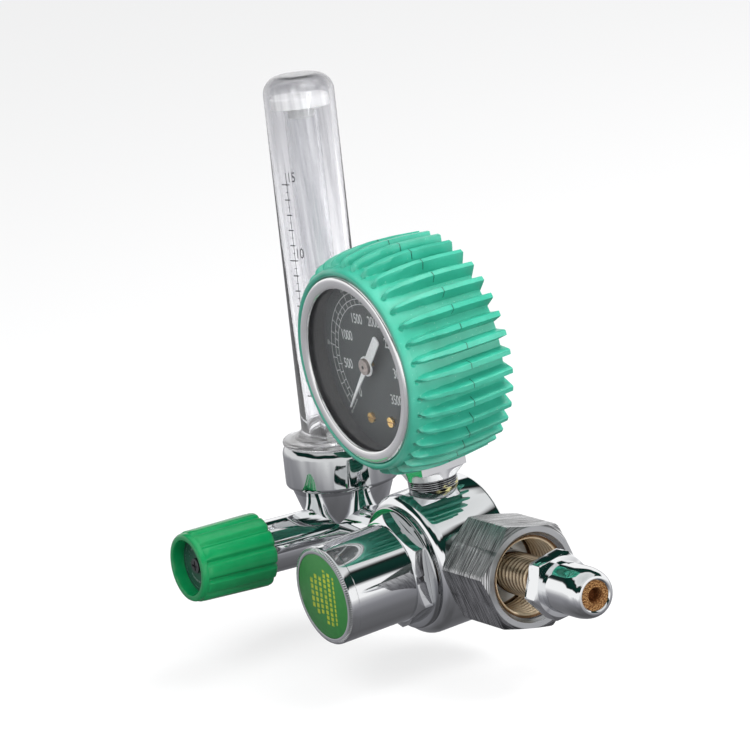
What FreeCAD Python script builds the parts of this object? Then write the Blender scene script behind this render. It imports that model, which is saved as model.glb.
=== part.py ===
import FreeCAD, Part
import math
import os

# Oxygen regulator: a two-inch content gauge, a spring-and-piston pressure reducer and a
# float flowmeter on one body. Millimetres, +Z up. While the pieces are made, the origin is
# where the inlet's axis (X) crosses the reducer's axis (Y). Each piece is then moved so
# that the origin is the middle of the inlet nipple's straight nose.

V = FreeCAD.Vector
UP = V(0, 0, 1)
sin45 = math.sqrt(0.5)

# Clearances
slip = 0.05            # turned or sliding fit, on the radius
seat_gap = 0.02        # faces that meet when assembled
loose = 0.3            # a free fit, on the radius
ring_gap = 0.1         # round an O-ring at rest
over = 1.0             # how far a cut or a joined piece runs past a face

# Body drum
drum_r = 20.65
drum_front_y = -13.7
drum_rear_y = 10.2
drum_front_round = 3.4
drum_rear_round = 1.0
boss_r = 9.0
boss_proud = 1.2       # inlet boss past the drum's side
port_thread_r = 6.6    # quarter-inch pipe thread, shared by the three ports
port_depth = 9.5
port_room = 1.5        # left between a screwed-in tail and the port's floor
passage_r = 1.5
high_passage_y = 2.6   # high pressure side of the seat
low_passage_y = -3.4   # low pressure side of the seat

# Reducer: bonnet, end cap, piston and seat
bonnet_thread_r = 13.6
bonnet_thread_long = 5.2
bonnet_bore_r = 11.4
bonnet_r = 14.3
bonnet_hex_af = 29.3
bonnet_hex_thick = 4.1
bonnet_hex_turn = 30.0
lock_ring_r = 18.0
lock_ring_thick = 1.7
bonnet_front_y = -41.75
end_cap_thick = 3.2
end_cap_plug_long = 3.0
end_cap_edge = 0.5
label_r = 12.4
label_thick = 0.4
piston_head_thick = 5.0
piston_stem_r = 3.6
piston_bore_r = 1.1
piston_cross_r = 0.55
piston_lift = 1.0      # travel that closes the seat
piston_ring_wire_r = 1.0
stem_ring_wire_r = 0.75
seat_disc_r = 2.3
seat_disc_thick = 1.6
guide_long = 2.8
seat_room_r = 4.6
nozzle_r = 3.2
nozzle_lip_r = 1.3
nozzle_lip_high = 1.0
nozzle_bore_r = 0.6
nozzle_long = 2.4
spring_wire_r = 1.1
spring_mean_r = 8.2
spring_turns = 5.0

# Inlet nipple, filter and nut
nipple_neck_r = 6.0
nipple_hex_af = 17.0
nipple_hex_x = 53.45
nipple_hex_thick = 5.35
nipple_hex_turn = 8.7
nipple_bore_r = 1.8
nose_r = 7.2
nose_straight = 8.8
nose_round_long = 6.6
nose_tip_r = 5.0
filter_r = 4.2
filter_long = 8.0
filter_sunk = 0.3
filter_hollow_r = 1.9
filter_floor = 2.0
nut_af = 28.575
nut_long = 21.8
nut_turn = -13.9
nut_wall = 3.6
nut_crest_r = 10.65
nut_thread_major_r = 11.47
nut_mouth_r = 12.8
nut_back_gap = 0.35
slip_ring_thick = 0.8
nut_relief = 1.6       # undercut behind the thread

# Gauge
gauge_z = 59.6
bezel_front_y = -19.55
bezel_r = 27.0
bezel_lip_thick = 0.9
bezel_face = 3.4       # width of the bezel's face, seen from the front
bezel_long = 6.5
bezel_wall = 0.9
lens_thick = 1.3
case_wall = 0.9
case_rear_y = 8.6
dial_y = -12.0         # the dial's face
dial_thick = 0.8
dial_gap = 0.5         # dial's edge to the case
dial_screw_r = 0.8
dial_screw_head_r = 1.5
dial_screw_head_high = 0.8
dial_screw_in = 3.2    # from the bourdon tube's middle in to the dial screws' circle
dial_screw_angle = 17.5
dial_post_r = 1.3
stem_square = 15.0
stem_bottom_z = 23.2
stem_chamfer = 2.4
stem_high = 13.0
stem_head_x = 14.6
stem_head_y = 9.0
stem_head_grip = 5.4   # from the bourdon tube's middle up to the head's top
stem_bore_r = 1.0
boot_front_y = -18.6
boot_rear_y = 13.0
boot_back_wall = 2.8
boot_fit = 0.15
boot_lip = 1.5         # the boot's lip, valleys and crests stand this far outside the bezel
boot_valley_front = 2.2
boot_valley_mid = 2.6
boot_valley_rear = 1.4
boot_crest_front = 3.9
boot_crest_mid = 6.0
boot_crest_rear = 4.8
boot_crest_mid_y = -3.0
boot_rib_count = 36
boot_rib_base = 2.8
boot_rib_top = 1.5
boot_rib_turn = 0.5
boot_front_edge = 1.2
boot_rear_edge = 1.5
boot_crest_bow = 0.75
boot_back_hole_r = 5.0

# Gauge movement
pointer_y = -14.3
pointer_thick = 0.35
pointer_room = 5.0     # from the pointer's tip to the bezel's edge
pointer_tail_r = 12.0
pointer_tail_wide = 3.0
pointer_tail_cut = 0.6 # off the tail's two corners
pointer_root_wide = 1.7
pointer_tip_wide = 0.4
pointer_eye_r = 2.9
pointer_zero_deg = 227.0
hub_r = 2.3
hub_front = 0.9
arbor_r = 0.6
pinion_thick = 2.4
gear_ratio = 7.0       # sector radius over pinion radius
gear_gap = 0.08
sector_thick = 0.8
sector_half_deg = 24.0
sector_hub_r = 1.8
sector_head_gap = 0.92  # sector's hub to the stem's head
sector_tail_long = 6.5
pointer_sweep_deg = 270.0
plate_thick = 1.0
plate_space = 5.0
plate_front_y = -10.2
plate_half_wide = 8.4
plate_high = 5.0       # above the gauge's centre
pillar_r = 1.1
pillar_x = 6.6
pillar_top = 2.6
bourdon_room = 3.85    # from the tube to the case's wall
bourdon_thick = 2.2
bourdon_wide = 6.0
bourdon_edge_r = 0.9
bourdon_front_y = -1.8
bourdon_foot_deg = -115.0
bourdon_sweep_deg = 245.0
bourdon_tip_long = 5.0
hair_thick = 0.12
hair_wide = 0.6
hair_pitch = 0.7
hair_turns = 4
hair_inner_r = 1.3

# Flowmeter. Its pieces are made upright and then turned about the inlet's axis, as the
# flowmeter stands when its pipe thread pulls up tight.
flow_lean_deg = 4.45
flow_x = -53.1
arm_r = 7.5
valve_tube_r = 7.86
valve_tube_front_y = -33.0
valve_tube_rear_y = 10.0
valve_bore_r = 4.2
valve_z = -0.8         # the valve's axis lies a little under the arm's
neck_low_r = 8.4
neck_mid_r = 12.9
neck_mid_z = 6.5
collar_r = 16.7
collar_lip = 1.5       # from the cone's top out to the collar's side
collar_low_z = 13.2
collar_top_z = 25.7
collar_round = 1.4
collar_crown_in = 1.1  # the crowned shoulder under the clear flange
collar_crown_high = 2.7
collar_wall = 2.8      # round the clear cover's skirt
collar_floor_z = 16.6
cup_socket_z = 10.4
outlet_boss_r = 9.2
outlet_boss_low_z = -11.5
outlet_socket_r = 6.0
outlet_socket_deep = 6.0
outlet_r = 7.14        # nine-sixteenths, eighteen threads an inch
outlet_long = 13.0
outlet_hex_af = 17.5
outlet_hex_thick = 4.0
outlet_bore_r = 3.0
outlet_nose_r = 5.2
outlet_nose_long = 3.0
cover_r = 10.34
cover_wall = 1.7
cover_top_z = 134.6
cover_round = 5.4
cover_flange_in = 0.4  # from the collar's side in to the flange's rim
cover_flange_high = 1.78
cover_ring_wire_r = 1.0
tube_r = 5.0
tube_bore_low_r = 3.3
tube_bore_high_r = 4.0
tube_low_z = 11.2
tube_top_z = 125.2
tube_ring_wire_r = 0.9
ball_r = 3.1
float_stop_top_z = 27.0
float_stop_long = 5.0
float_stop_hole_r = 1.6
top_plug_thick = 3.4
top_plug_spigot = 3.0
top_plug_hole_r = 0.8

# Flow control: spindle, gland nut and knob
needle_tip_y = 1.0
needle_long = 5.0
needle_tip_r = 0.6
spindle_r = 2.6
spindle_thread_r = 3.6
spindle_step = 0.5
spindle_thread_front_y = -20.0
spindle_ring_wire_r = 1.1
spindle_front_y = -50.6
gland_r = 6.3
gland_thread_r = 5.2
gland_thread_long = 6.5
gland_head_long = 3.4
valve_seat_r = 1.0
feed_gap = 3.0         # needle's tip to the middle of the inlet passage
riser_back = 2.0       # needle's tip to the middle of the passage up to the cup
knob_front_y = -55.2
knob_long = 24.7
knob_front_r = 10.3
knob_rear_r = 11.1
knob_rim_long = 1.6
knob_lobes = 12
knob_groove_r = 1.5
knob_groove_out = 1.0
knob_recess_r = 8.1
knob_recess_deep = 4.4
knob_cavity_r = 9.1
knob_web_long = 9.0
knob_disc_thick = 0.6
knob_edge = 0.7
knob_screw_r = 1.1
knob_screw_head_r = 2.2
knob_screw_head_high = 1.0
knob_screw_long = 6.0
knob_screw_cross = 1.5
knob_turns = 2.5
spindle_pitch = 1.0

# Places worked out from the sizes above
nose_x = nipple_hex_x + nipple_hex_thick
origin_x = nose_x + nose_straight / 2
tip_x = nose_x + nose_straight + nose_round_long
boss_x = drum_r + boss_proud
nut_rear_x = boss_x + nut_back_gap
nut_hole_r = port_thread_r + loose
slip_ring_x = nut_rear_x + nut_wall
port_floor = drum_r - port_depth
tail_end = port_floor + port_room
nut_travel = nipple_hex_x - slip_ring_x - slip_ring_thick
bonnet_hex_rear_y = drum_front_y - lock_ring_thick
bonnet_hex_front_y = bonnet_hex_rear_y - bonnet_hex_thick
cavity_floor_y = drum_front_y + bonnet_thread_long + slip
seat_room_front_y = cavity_floor_y + guide_long
nozzle_face_y = low_passage_y + passage_r + nozzle_lip_high
nozzle_lip_y = nozzle_face_y - nozzle_lip_high
seat_rest_y = nozzle_lip_y - piston_lift - seat_gap
cap_joint_y = bonnet_front_y + end_cap_thick
piston_front_y = cap_joint_y + end_cap_plug_long + seat_gap
piston_head_rear_y = piston_front_y + piston_head_thick
case_r = bezel_r - bezel_wall - slip
bezel_window_r = bezel_r - bezel_face
pointer_tip_r = bezel_window_r - pointer_room
boot_lip_r = bezel_r + boot_lip
boot_valley_front_r = bezel_r + boot_valley_front
boot_valley_mid_r = bezel_r + boot_valley_mid
boot_valley_rear_r = bezel_r + boot_valley_rear
boot_crest_front_r = bezel_r + boot_crest_front
boot_crest_mid_r = bezel_r + boot_crest_mid
boot_crest_rear_r = bezel_r + boot_crest_rear
bourdon_r = case_r - case_wall - bourdon_thick / 2 - bourdon_room
dial_screw_circle_r = bourdon_r - dial_screw_in
stem_head_top = gauge_z - bourdon_r + stem_head_grip
lens_front_y = bezel_front_y + bezel_lip_thick + seat_gap
case_front_y = lens_front_y + lens_thick + seat_gap
case_back_y = case_rear_y - case_wall
plate_rear_y = plate_front_y + plate_thick + plate_space
sector_pivot_z = stem_head_top + sector_head_gap + sector_hub_r
pinion_r = (gauge_z - sector_pivot_z - gear_gap) / (1 + gear_ratio)
sector_r = pinion_r * gear_ratio
sector_y = plate_front_y + plate_thick + plate_space / 2
sector_turn_deg = pointer_sweep_deg / gear_ratio
neck_top_r = collar_r - collar_lip
cover_bore_r = cover_r - cover_wall
cover_skirt_r = collar_r - collar_wall
cover_flange_r = collar_r - cover_flange_in
cover_flange_z = collar_top_z + seat_gap
plug_low_z = tube_top_z + seat_gap
ball_rest_z = float_stop_top_z + ball_r
ball_travel = tube_top_z - top_plug_spigot - ball_r - ball_rest_z - seat_gap
knob_rear_y = knob_front_y + knob_long
knob_web_front_y = knob_front_y + knob_recess_deep
knob_web_rear_y = knob_web_front_y + knob_web_long
knob_travel = knob_turns * spindle_pitch
gland_inner_y = valve_tube_front_y + gland_thread_long
spindle_ring_y = gland_inner_y + knob_travel + spindle_ring_wire_r + loose
spindle_root_r = valve_bore_r - ring_gap - 2 * spindle_ring_wire_r
valve_seat_y = needle_tip_y - needle_long * (valve_seat_r - slip - needle_tip_r) / (spindle_r - needle_tip_r)


def lathe(profile, direction, at):
    """Turns a closed outline of (radius, height) points about an axis.

    A pair of points in the outline is an arc: a point on it, and its end."""
    def point(rh):
        return V(rh[0], 0, rh[1])
    edges = []
    here = profile[0]
    for step in profile[1:] + profile[:1]:
        if isinstance(step[0], tuple):
            edges.append(Part.Arc(point(here), point(step[0]), point(step[1])).toShape())
            here = step[1]
        elif step != here:
            edges.append(Part.LineSegment(point(here), point(step)).toShape())
            here = step
    solid = Part.Face(Part.Wire(edges)).revolve(V(0, 0, 0), UP, 360)
    solid.Placement = FreeCAD.Placement(at, FreeCAD.Rotation(UP, direction))
    return solid


def lathe_x(profile):
    return lathe(profile, V(1, 0, 0), V(0, 0, 0))


def lathe_y(profile, x=0.0, z=0.0):
    return lathe(profile, V(0, 1, 0), V(x, 0, z))


def lathe_z(profile, x=0.0, y=0.0):
    return lathe(profile, UP, V(x, y, 0))


def rod_x(r, x0, x1, y=0.0, z=0.0):
    return Part.makeCylinder(r, x1 - x0, V(x0, y, z), V(1, 0, 0))


def rod_y(r, y0, y1, x=0.0, z=0.0):
    return Part.makeCylinder(r, y1 - y0, V(x, y0, z), V(0, 1, 0))


def rod_z(r, z0, z1, x=0.0, y=0.0):
    return Part.makeCylinder(r, z1 - z0, V(x, y, z0), UP)


def box(x0, x1, y0, y1, z0, z1):
    return Part.makeBox(x1 - x0, y1 - y0, z1 - z0, V(x0, y0, z0))


def outline(points):
    return Part.Face(Part.makePolygon(points + points[:1]))


def hexagon(af, turn, place):
    """Six corners; place puts a corner's two coordinates into space."""
    r = af / math.sqrt(3)
    turns = [math.radians(turn + 60 * k) for k in range(6)]
    return outline([place(r * math.cos(t), r * math.sin(t)) for t in turns])


def corner_r(af):
    return af / math.sqrt(3)


def corner_drop(af):
    """How far a thirty-degree chamfer reaches down a hexagon's corners."""
    return (corner_r(af) - af / 2) * math.tan(math.radians(30))


def hex_x(af, turn, x0, x1, chamfer_rear, chamfer_front):
    """Hexagonal bar along X with its corners turned off at thirty degrees."""
    bar = hexagon(af, turn, lambda a, b: V(x0, a, b)).extrude(V(x1 - x0, 0, 0))
    out = corner_r(af) + slip
    drop = corner_drop(af)
    flat = af / 2
    low = drop if chamfer_rear else 0.0
    high = drop if chamfer_front else 0.0
    shape = [(0, x0), (flat if low else out, x0), (out, x0 + low), (out, x1 - high),
             (flat if high else out, x1), (0, x1)]
    return bar.common(lathe_x(shape))


def ring_y(wire_r, mean_r, y, x=0.0, z=0.0):
    return Part.makeTorus(mean_r, wire_r, V(x, y, z), V(0, 1, 0))


def ring_z(wire_r, mean_r, z, x=0.0, y=0.0):
    return Part.makeTorus(mean_r, wire_r, V(x, y, z), UP)


def lean(shape):
    """Turns a flowmeter piece to the angle at which it is screwed up."""
    shape.rotate(V(0, 0, 0), V(1, 0, 0), -flow_lean_deg)
    return shape


def lean_valve(shape):
    """The same for a piece on the valve's axis, made at the arm's height."""
    shape.translate(V(0, 0, valve_z))
    return lean(shape)


def body_drum():
    """Turned brass drum with three threaded ports and the seat's chambers."""
    front, rear = drum_front_y, drum_rear_y
    f, b = drum_front_round, drum_rear_round
    f_in = f * (1 - sin45)
    b_in = b * (1 - sin45)
    solid = lathe_y([(0, front), (drum_r - f, front), ((drum_r - f_in, front + f_in), (drum_r, front + f)),
                     (drum_r, rear - b), ((drum_r - b_in, rear - b_in), (drum_r - b, rear)), (0, rear)])
    solid = solid.fuse(rod_x(boss_r, 0, boss_x))
    cuts = [
        rod_y(bonnet_thread_r + slip, front - over, cavity_floor_y),
        rod_y(piston_stem_r + slip, cavity_floor_y - over, seat_room_front_y + slip),
        rod_y(seat_room_r, seat_room_front_y, nozzle_face_y),
        rod_y(nozzle_r + slip, nozzle_face_y - slip, nozzle_face_y + nozzle_long),
        rod_y(passage_r, nozzle_face_y, high_passage_y + passage_r),
        rod_x(port_thread_r + slip, port_floor, boss_x + over),
        rod_x(port_thread_r + slip, -drum_r - over, -port_floor),
        rod_z(port_thread_r + slip, port_floor, drum_r + over),
        rod_x(passage_r, 0, port_floor + over, high_passage_y),
        rod_z(passage_r, 0, port_floor + over, 0, high_passage_y),
        rod_x(passage_r, -port_floor - over, 0, low_passage_y),
        ring_y(stem_ring_wire_r + ring_gap, piston_stem_r + stem_ring_wire_r, guide_ring_y()),
    ]
    for cut in cuts:
        solid = solid.cut(cut)
    return solid


def guide_ring_y():
    return cavity_floor_y + guide_long / 2


def lock_ring():
    """Flat ring clamped between the bonnet's hexagon and the drum."""
    rear = drum_front_y - seat_gap
    front = bonnet_hex_rear_y + seat_gap
    solid = rod_y(lock_ring_r, front, rear)
    return solid.cut(rod_y(bonnet_thread_r + loose, front - over, rear + over))


def bonnet():
    """Barrel, spanner hexagon and thread in one turned piece, bored for the piston."""
    barrel = rod_y(bonnet_r, cap_joint_y, bonnet_hex_front_y + slip)
    bar = hexagon(bonnet_hex_af, bonnet_hex_turn, lambda a, b: V(a, bonnet_hex_front_y, b))
    bar = bar.extrude(V(0, bonnet_hex_thick, 0))
    drop = corner_drop(bonnet_hex_af)
    out = corner_r(bonnet_hex_af) + slip
    cone = lathe_y([(0, bonnet_hex_front_y), (bonnet_hex_af / 2, bonnet_hex_front_y),
                    (out, bonnet_hex_front_y + drop), (out, bonnet_hex_rear_y), (0, bonnet_hex_rear_y)])
    thread = rod_y(bonnet_thread_r, bonnet_hex_rear_y - slip, drum_front_y + bonnet_thread_long)
    solid = barrel.fuse(bar.common(cone)).fuse(thread)
    return solid.cut(rod_y(bonnet_bore_r, cap_joint_y - over, drum_front_y + bonnet_thread_long + over))


def bonnet_end_cap():
    """Knurled cap screwed into the front of the bonnet; it also stops the piston."""
    edge = end_cap_edge
    rear = cap_joint_y - seat_gap
    plug_r = bonnet_bore_r - slip
    sunk = bonnet_front_y + label_thick
    solid = lathe_y([(0, sunk), (label_r + slip, sunk), (label_r + slip, bonnet_front_y),
                     (bonnet_r - edge, bonnet_front_y), (bonnet_r, bonnet_front_y + edge),
                     (bonnet_r, rear), (plug_r, rear), (plug_r, rear + end_cap_plug_long),
                     (0, rear + end_cap_plug_long)])
    return solid.cut(rod_y(piston_bore_r * 2, rear + end_cap_plug_long / 2, rear + end_cap_plug_long + over))


def label_disc():
    return rod_y(label_r, bonnet_front_y, bonnet_front_y + label_thick - seat_gap)


def piston():
    """Head and hollow stem; outlet pressure passes up the stem to the head's front."""
    head_r = bonnet_bore_r - slip
    groove_y = (piston_front_y + piston_head_rear_y) / 2
    end_y = seat_rest_y
    solid = rod_y(head_r, piston_front_y, piston_head_rear_y)
    solid = solid.fuse(rod_y(piston_stem_r, piston_head_rear_y - over, end_y))
    solid = solid.cut(ring_y(piston_ring_wire_r + ring_gap, head_r - piston_ring_wire_r, groove_y))
    cross_y = seat_room_front_y + piston_cross_r + slip
    solid = solid.cut(rod_y(piston_bore_r, piston_front_y - over, cross_y))
    solid = solid.cut(rod_x(piston_cross_r, -piston_stem_r - over, piston_stem_r + over, cross_y))
    return solid.cut(rod_y(seat_disc_r + slip, end_y - seat_disc_thick, end_y + over))


def seat_disc():
    """Plastic disc in the end of the stem that closes on the nozzle."""
    return rod_y(seat_disc_r, seat_rest_y - seat_disc_thick + seat_gap, seat_rest_y)


def piston_ring():
    head_r = bonnet_bore_r - slip
    wire = piston_ring_wire_r - ring_gap / 2
    return ring_y(wire, head_r - piston_ring_wire_r + ring_gap / 2,
                  (piston_front_y + piston_head_rear_y) / 2)


def stem_ring():
    return ring_y(stem_ring_wire_r - ring_gap / 2, piston_stem_r + stem_ring_wire_r, guide_ring_y())


def seat_nozzle():
    """Brass nozzle pressed into the drum; the seat disc closes its lip."""
    lip = nozzle_lip_y
    rear = nozzle_face_y + nozzle_long - seat_gap
    return lathe_y([(nozzle_bore_r, lip), (nozzle_lip_r, lip), (nozzle_r, nozzle_face_y),
                    (nozzle_r, rear), (nozzle_bore_r, rear)])


def main_spring():
    """Open-coiled compression spring between the piston's head and the drum."""
    front = piston_head_rear_y + spring_wire_r + seat_gap
    rear = cavity_floor_y - spring_wire_r - seat_gap
    high = rear - front
    helix = Part.makeHelix(high / spring_turns, high, spring_mean_r)
    circle = Part.makeCircle(spring_wire_r, V(spring_mean_r, 0, 0), V(0, 1, 0))
    coil = Part.Wire(helix.Edges).makePipeShell([Part.Wire([circle])], True, True)
    solid = coil if coil.ShapeType == "Solid" else Part.Solid(coil.Shells[0])
    solid.Placement = FreeCAD.Placement(V(0, front, 0), FreeCAD.Rotation(UP, V(0, 1, 0)))
    return solid


def inlet_nipple():
    """Threaded tail, plain neck, spanner hexagon and rounded nose, bored through."""
    solid = rod_x(port_thread_r, tail_end, boss_x - seat_gap)
    solid = solid.fuse(rod_x(nipple_neck_r, tail_end, nipple_hex_x + over))
    solid = solid.fuse(hex_x(nipple_hex_af, nipple_hex_turn, nipple_hex_x, nose_x, False, True))
    shoulder = nose_x + nose_straight
    mid = (nose_tip_r + (nose_r - nose_tip_r) * sin45, shoulder + nose_round_long * sin45)
    nose = lathe_x([(0, nose_x - over), (nose_r, nose_x - over), (nose_r, shoulder),
                    (mid, (nose_tip_r, tip_x)), (0, tip_x)])
    solid = solid.fuse(nose)
    filter_back = tip_x - filter_sunk - filter_long
    solid = solid.cut(rod_x(nipple_bore_r, tail_end - over, filter_back + over))
    return solid.cut(rod_x(filter_r + slip, filter_back - seat_gap, tip_x + over))


def sintered_filter():
    """Porous bronze thimble in the mouth of the nipple."""
    front = tip_x - filter_sunk
    solid = rod_x(filter_r, front - filter_long, front)
    return solid.cut(rod_x(filter_hollow_r, front - filter_long + filter_floor, front + over))


def inlet_nut():
    """Union nut: a wall that pulls on the nipple's hexagon, and a threaded mouth."""
    front = nut_rear_x + nut_long
    solid = hex_x(nut_af, nut_turn, nut_rear_x, front, True, True)
    mouth = nut_mouth_r - nut_crest_r
    relief_x = slip_ring_x + slip_ring_thick + nut_relief
    bore = lathe_x([(0, slip_ring_x), (nut_thread_major_r, slip_ring_x), (nut_thread_major_r, relief_x),
                    (nut_crest_r, relief_x + nut_thread_major_r - nut_crest_r),
                    (nut_crest_r, front - mouth), (nut_mouth_r, front), (nut_mouth_r, front + over),
                    (0, front + over)])
    return solid.cut(bore).cut(rod_x(nut_hole_r, nut_rear_x - over, slip_ring_x + over))


def nut_slip_ring():
    """Thin ring that lets the nut turn against the nipple's hexagon."""
    x0 = slip_ring_x + seat_gap
    x1 = slip_ring_x + slip_ring_thick
    return rod_x(nut_crest_r - loose, x0, x1).cut(rod_x(nut_hole_r, x0 - over, x1 + over))


def gauge_socket():
    """Brass stem: pipe thread, square for the spanner, and the head inside the case."""
    half = stem_square / 2
    top = stem_bottom_z + stem_high
    block = box(-half, half, -half, half, stem_bottom_z, top)
    c = stem_chamfer
    out = half * math.sqrt(2) + slip
    cone = lathe_z([(0, stem_bottom_z), (half, stem_bottom_z), (out, stem_bottom_z + c), (out, top),
                    (0, top)])
    solid = block.common(cone)
    solid = solid.fuse(rod_z(port_thread_r, tail_end, stem_bottom_z + over))
    hx, hy = stem_head_x / 2, stem_head_y / 2
    solid = solid.fuse(box(-hx, hx, -hy, hy, top - over, stem_head_top))
    for x in dial_post_xs():
        solid = solid.fuse(rod_y(dial_post_r, dial_y + dial_thick + seat_gap, -hy + over, x, dial_screw_z()))
    for x in dial_post_xs():
        solid = solid.cut(rod_y(dial_screw_r + slip, dial_y - over, -hy - seat_gap, x, dial_screw_z()))
    return solid.cut(rod_z(stem_bore_r, tail_end - over, (top + stem_head_top) / 2))


def dial_screw_z():
    return gauge_z - dial_screw_circle_r * math.cos(math.radians(dial_screw_angle))


def dial_post_xs():
    x = dial_screw_circle_r * math.sin(math.radians(dial_screw_angle))
    return (-x, x)


def stem_slot(half_x, half_y):
    """Space through the bottom of the case and the boot that the stem passes."""
    bottom_z = gauge_z - boot_crest_mid_r - over
    return box(-half_x, half_x, -half_y, half_y, bottom_z, gauge_z - bezel_window_r / 2)


def gauge_case():
    """Drawn steel cup, open at the front and slotted for the stem."""
    inner = case_r - case_wall
    solid = lathe_y([(inner, case_front_y), (case_r, case_front_y), (case_r, case_rear_y), (0, case_rear_y),
                     (0, case_back_y), (inner, case_back_y)], 0, gauge_z)
    half = stem_square / 2 + slip
    return solid.cut(stem_slot(half, half))


def gauge_bezel():
    """Polished ring that rolls over the lens and grips the case."""
    front = bezel_front_y
    rear = front + bezel_long
    inner = case_r + slip
    lip = front + bezel_lip_thick
    bow = bezel_lip_thick
    bow_in = bow * (1 - sin45)
    return lathe_y([(bezel_window_r, lip), (bezel_window_r + bow / 2, front), (bezel_r - bow, front),
                    ((bezel_r - bow_in, front + bow_in), (bezel_r, front + bow)), (bezel_r, rear),
                    (inner, rear), (inner, lip)], 0, gauge_z)


def gauge_lens():
    r = case_r - slip
    return rod_y(r, lens_front_y, lens_front_y + lens_thick, 0, gauge_z)


def gauge_dial():
    """Printed plate with holes for the pointer's arbor and its two screws."""
    r = case_r - case_wall - dial_gap
    solid = rod_y(r, dial_y, dial_y + dial_thick, 0, gauge_z)
    solid = solid.cut(rod_y(arbor_r + loose, dial_y - over, dial_y + 2 * over, 0, gauge_z))
    for x in dial_post_xs():
        solid = solid.cut(rod_y(dial_screw_r + slip, dial_y - over, dial_y + 2 * over, x, dial_screw_z()))
    return solid


def dial_screws():
    screws = []
    for x in dial_post_xs():
        z = dial_screw_z()
        under = dial_y - seat_gap
        head = rod_y(dial_screw_head_r, under - dial_screw_head_high, under, x, z)
        shank = rod_y(dial_screw_r, under - slip, -stem_head_y / 2 - over, x, z)
        slot = box(x - dial_screw_head_r, x + dial_screw_head_r, under - dial_screw_head_high,
                   under - dial_screw_head_high / 2, z - dial_screw_r / 4, z + dial_screw_r / 4)
        screws.append(head.fuse(shank).cut(slot))
    return Part.makeCompound(screws)


def gauge_boot():
    """Moulded rubber cover: a ribbed barrel that grips the case, open for stem and dial."""
    edge_y = boot_front_y + boot_front_edge
    bow_r = (boot_crest_front_r + boot_crest_mid_r) / 2 + boot_crest_bow
    crest = lathe_y([(0, boot_front_y), (boot_lip_r, boot_front_y), (boot_crest_front_r, edge_y),
                     ((bow_r, (edge_y + boot_crest_mid_y) / 2), (boot_crest_mid_r, boot_crest_mid_y)),
                     (boot_crest_rear_r, boot_rear_y), (0, boot_rear_y)], 0, gauge_z)
    valley = lathe_y([(0, boot_front_y), (boot_lip_r, boot_front_y), (boot_valley_front_r, edge_y),
                      (boot_valley_mid_r, boot_crest_mid_y),
                      (boot_valley_rear_r, boot_rear_y - boot_rear_edge),
                      (boot_valley_rear_r - boot_rear_edge, boot_rear_y), (0, boot_rear_y)], 0, gauge_z)
    solid = crest.common(valley.fuse(rib_star()))
    inner = case_r + boot_fit
    step_y = bezel_front_y + bezel_long + boot_fit
    wide = bezel_r + boot_fit
    back = boot_rear_y - boot_back_wall
    hollow = lathe_y([(0, boot_front_y - over), (wide, boot_front_y - over), (wide, step_y), (inner, step_y),
                      (inner, back), (0, back)], 0, gauge_z)
    solid = solid.cut(hollow).cut(rod_y(boot_back_hole_r, back - over, boot_rear_y + over, 0, gauge_z))
    half = stem_square / 2 + loose
    return solid.cut(stem_slot(half, half))


def rib_star():
    """Star-shaped prism whose points are the boot's ribs."""
    pitch = 360.0 / boot_rib_count
    low_r = boot_valley_rear_r - boot_rear_edge - over
    high_r = boot_crest_mid_r + over
    base = math.degrees(math.asin(boot_rib_base / 2 / boot_valley_mid_r))
    top = math.degrees(math.asin(boot_rib_top / 2 / boot_crest_mid_r))
    points = []
    for k in range(boot_rib_count):
        for r, offset in ((low_r, -base), (high_r, -top), (high_r, top), (low_r, base)):
            t = math.radians(boot_rib_turn + k * pitch + offset)
            points.append(V(r * math.cos(t), boot_front_y, gauge_z + r * math.sin(t)))
    return outline(points).extrude(V(0, boot_rear_y - boot_front_y, 0))


def polar(r, deg, y):
    t = math.radians(deg)
    return V(r * math.cos(t), y, gauge_z + r * math.sin(t))


def gauge_pointer():
    """Thin pointer with a round eye and a broad straight tail, riveted on a hub."""
    turned = math.radians(pointer_zero_deg)
    y = pointer_y
    tip, root, tail = pointer_tip_wide / 2, pointer_root_wide / 2, pointer_tail_wide / 2
    c = pointer_tail_cut
    side = [(pointer_tip_r, tip), (0, root), (0, tail), (c - pointer_tail_r, tail),
            (-pointer_tail_r, tail - c)]
    points = [V(u * math.cos(turned) - v * math.sin(turned), y,
                gauge_z + u * math.sin(turned) + v * math.cos(turned))
              for u, v in side + [(u, -v) for u, v in reversed(side)]]
    solid = outline(points).extrude(V(0, pointer_thick, 0))
    solid = solid.fuse(rod_y(pointer_eye_r, y, y + pointer_thick, 0, gauge_z))
    solid = solid.fuse(rod_y(hub_r, y - hub_front, y + pointer_thick * 2, 0, gauge_z))
    return solid.cut(rod_y(arbor_r, y - hub_front / 3, y + over, 0, gauge_z))


def pointer_arbor():
    """Arbor and pinion; the pinion's fine teeth aren't cut."""
    front = pointer_y - hub_front / 3 + seat_gap
    rear = plate_rear_y + plate_thick
    solid = rod_y(arbor_r, front, rear, 0, gauge_z)
    half = pinion_thick / 2
    return solid.fuse(rod_y(pinion_r, sector_y - half, sector_y + half, 0, gauge_z))


def movement_plate(y):
    low = stem_head_top + seat_gap
    solid = box(-plate_half_wide, plate_half_wide, y, y + plate_thick, low, gauge_z + plate_high)
    solid = solid.cut(rod_y(arbor_r + slip, y - over, y + plate_thick + over, 0, gauge_z))
    return solid.cut(rod_y(arbor_r + slip, y - over, y + plate_thick + over, 0, sector_pivot_z))


def movement_pillars():
    pillars = []
    front = plate_front_y + plate_thick + seat_gap
    rear = plate_rear_y - seat_gap
    for x in (-pillar_x, pillar_x):
        pillars.append(rod_y(pillar_r, front, rear, x, gauge_z + pillar_top))
    return Part.makeCompound(pillars)


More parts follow.
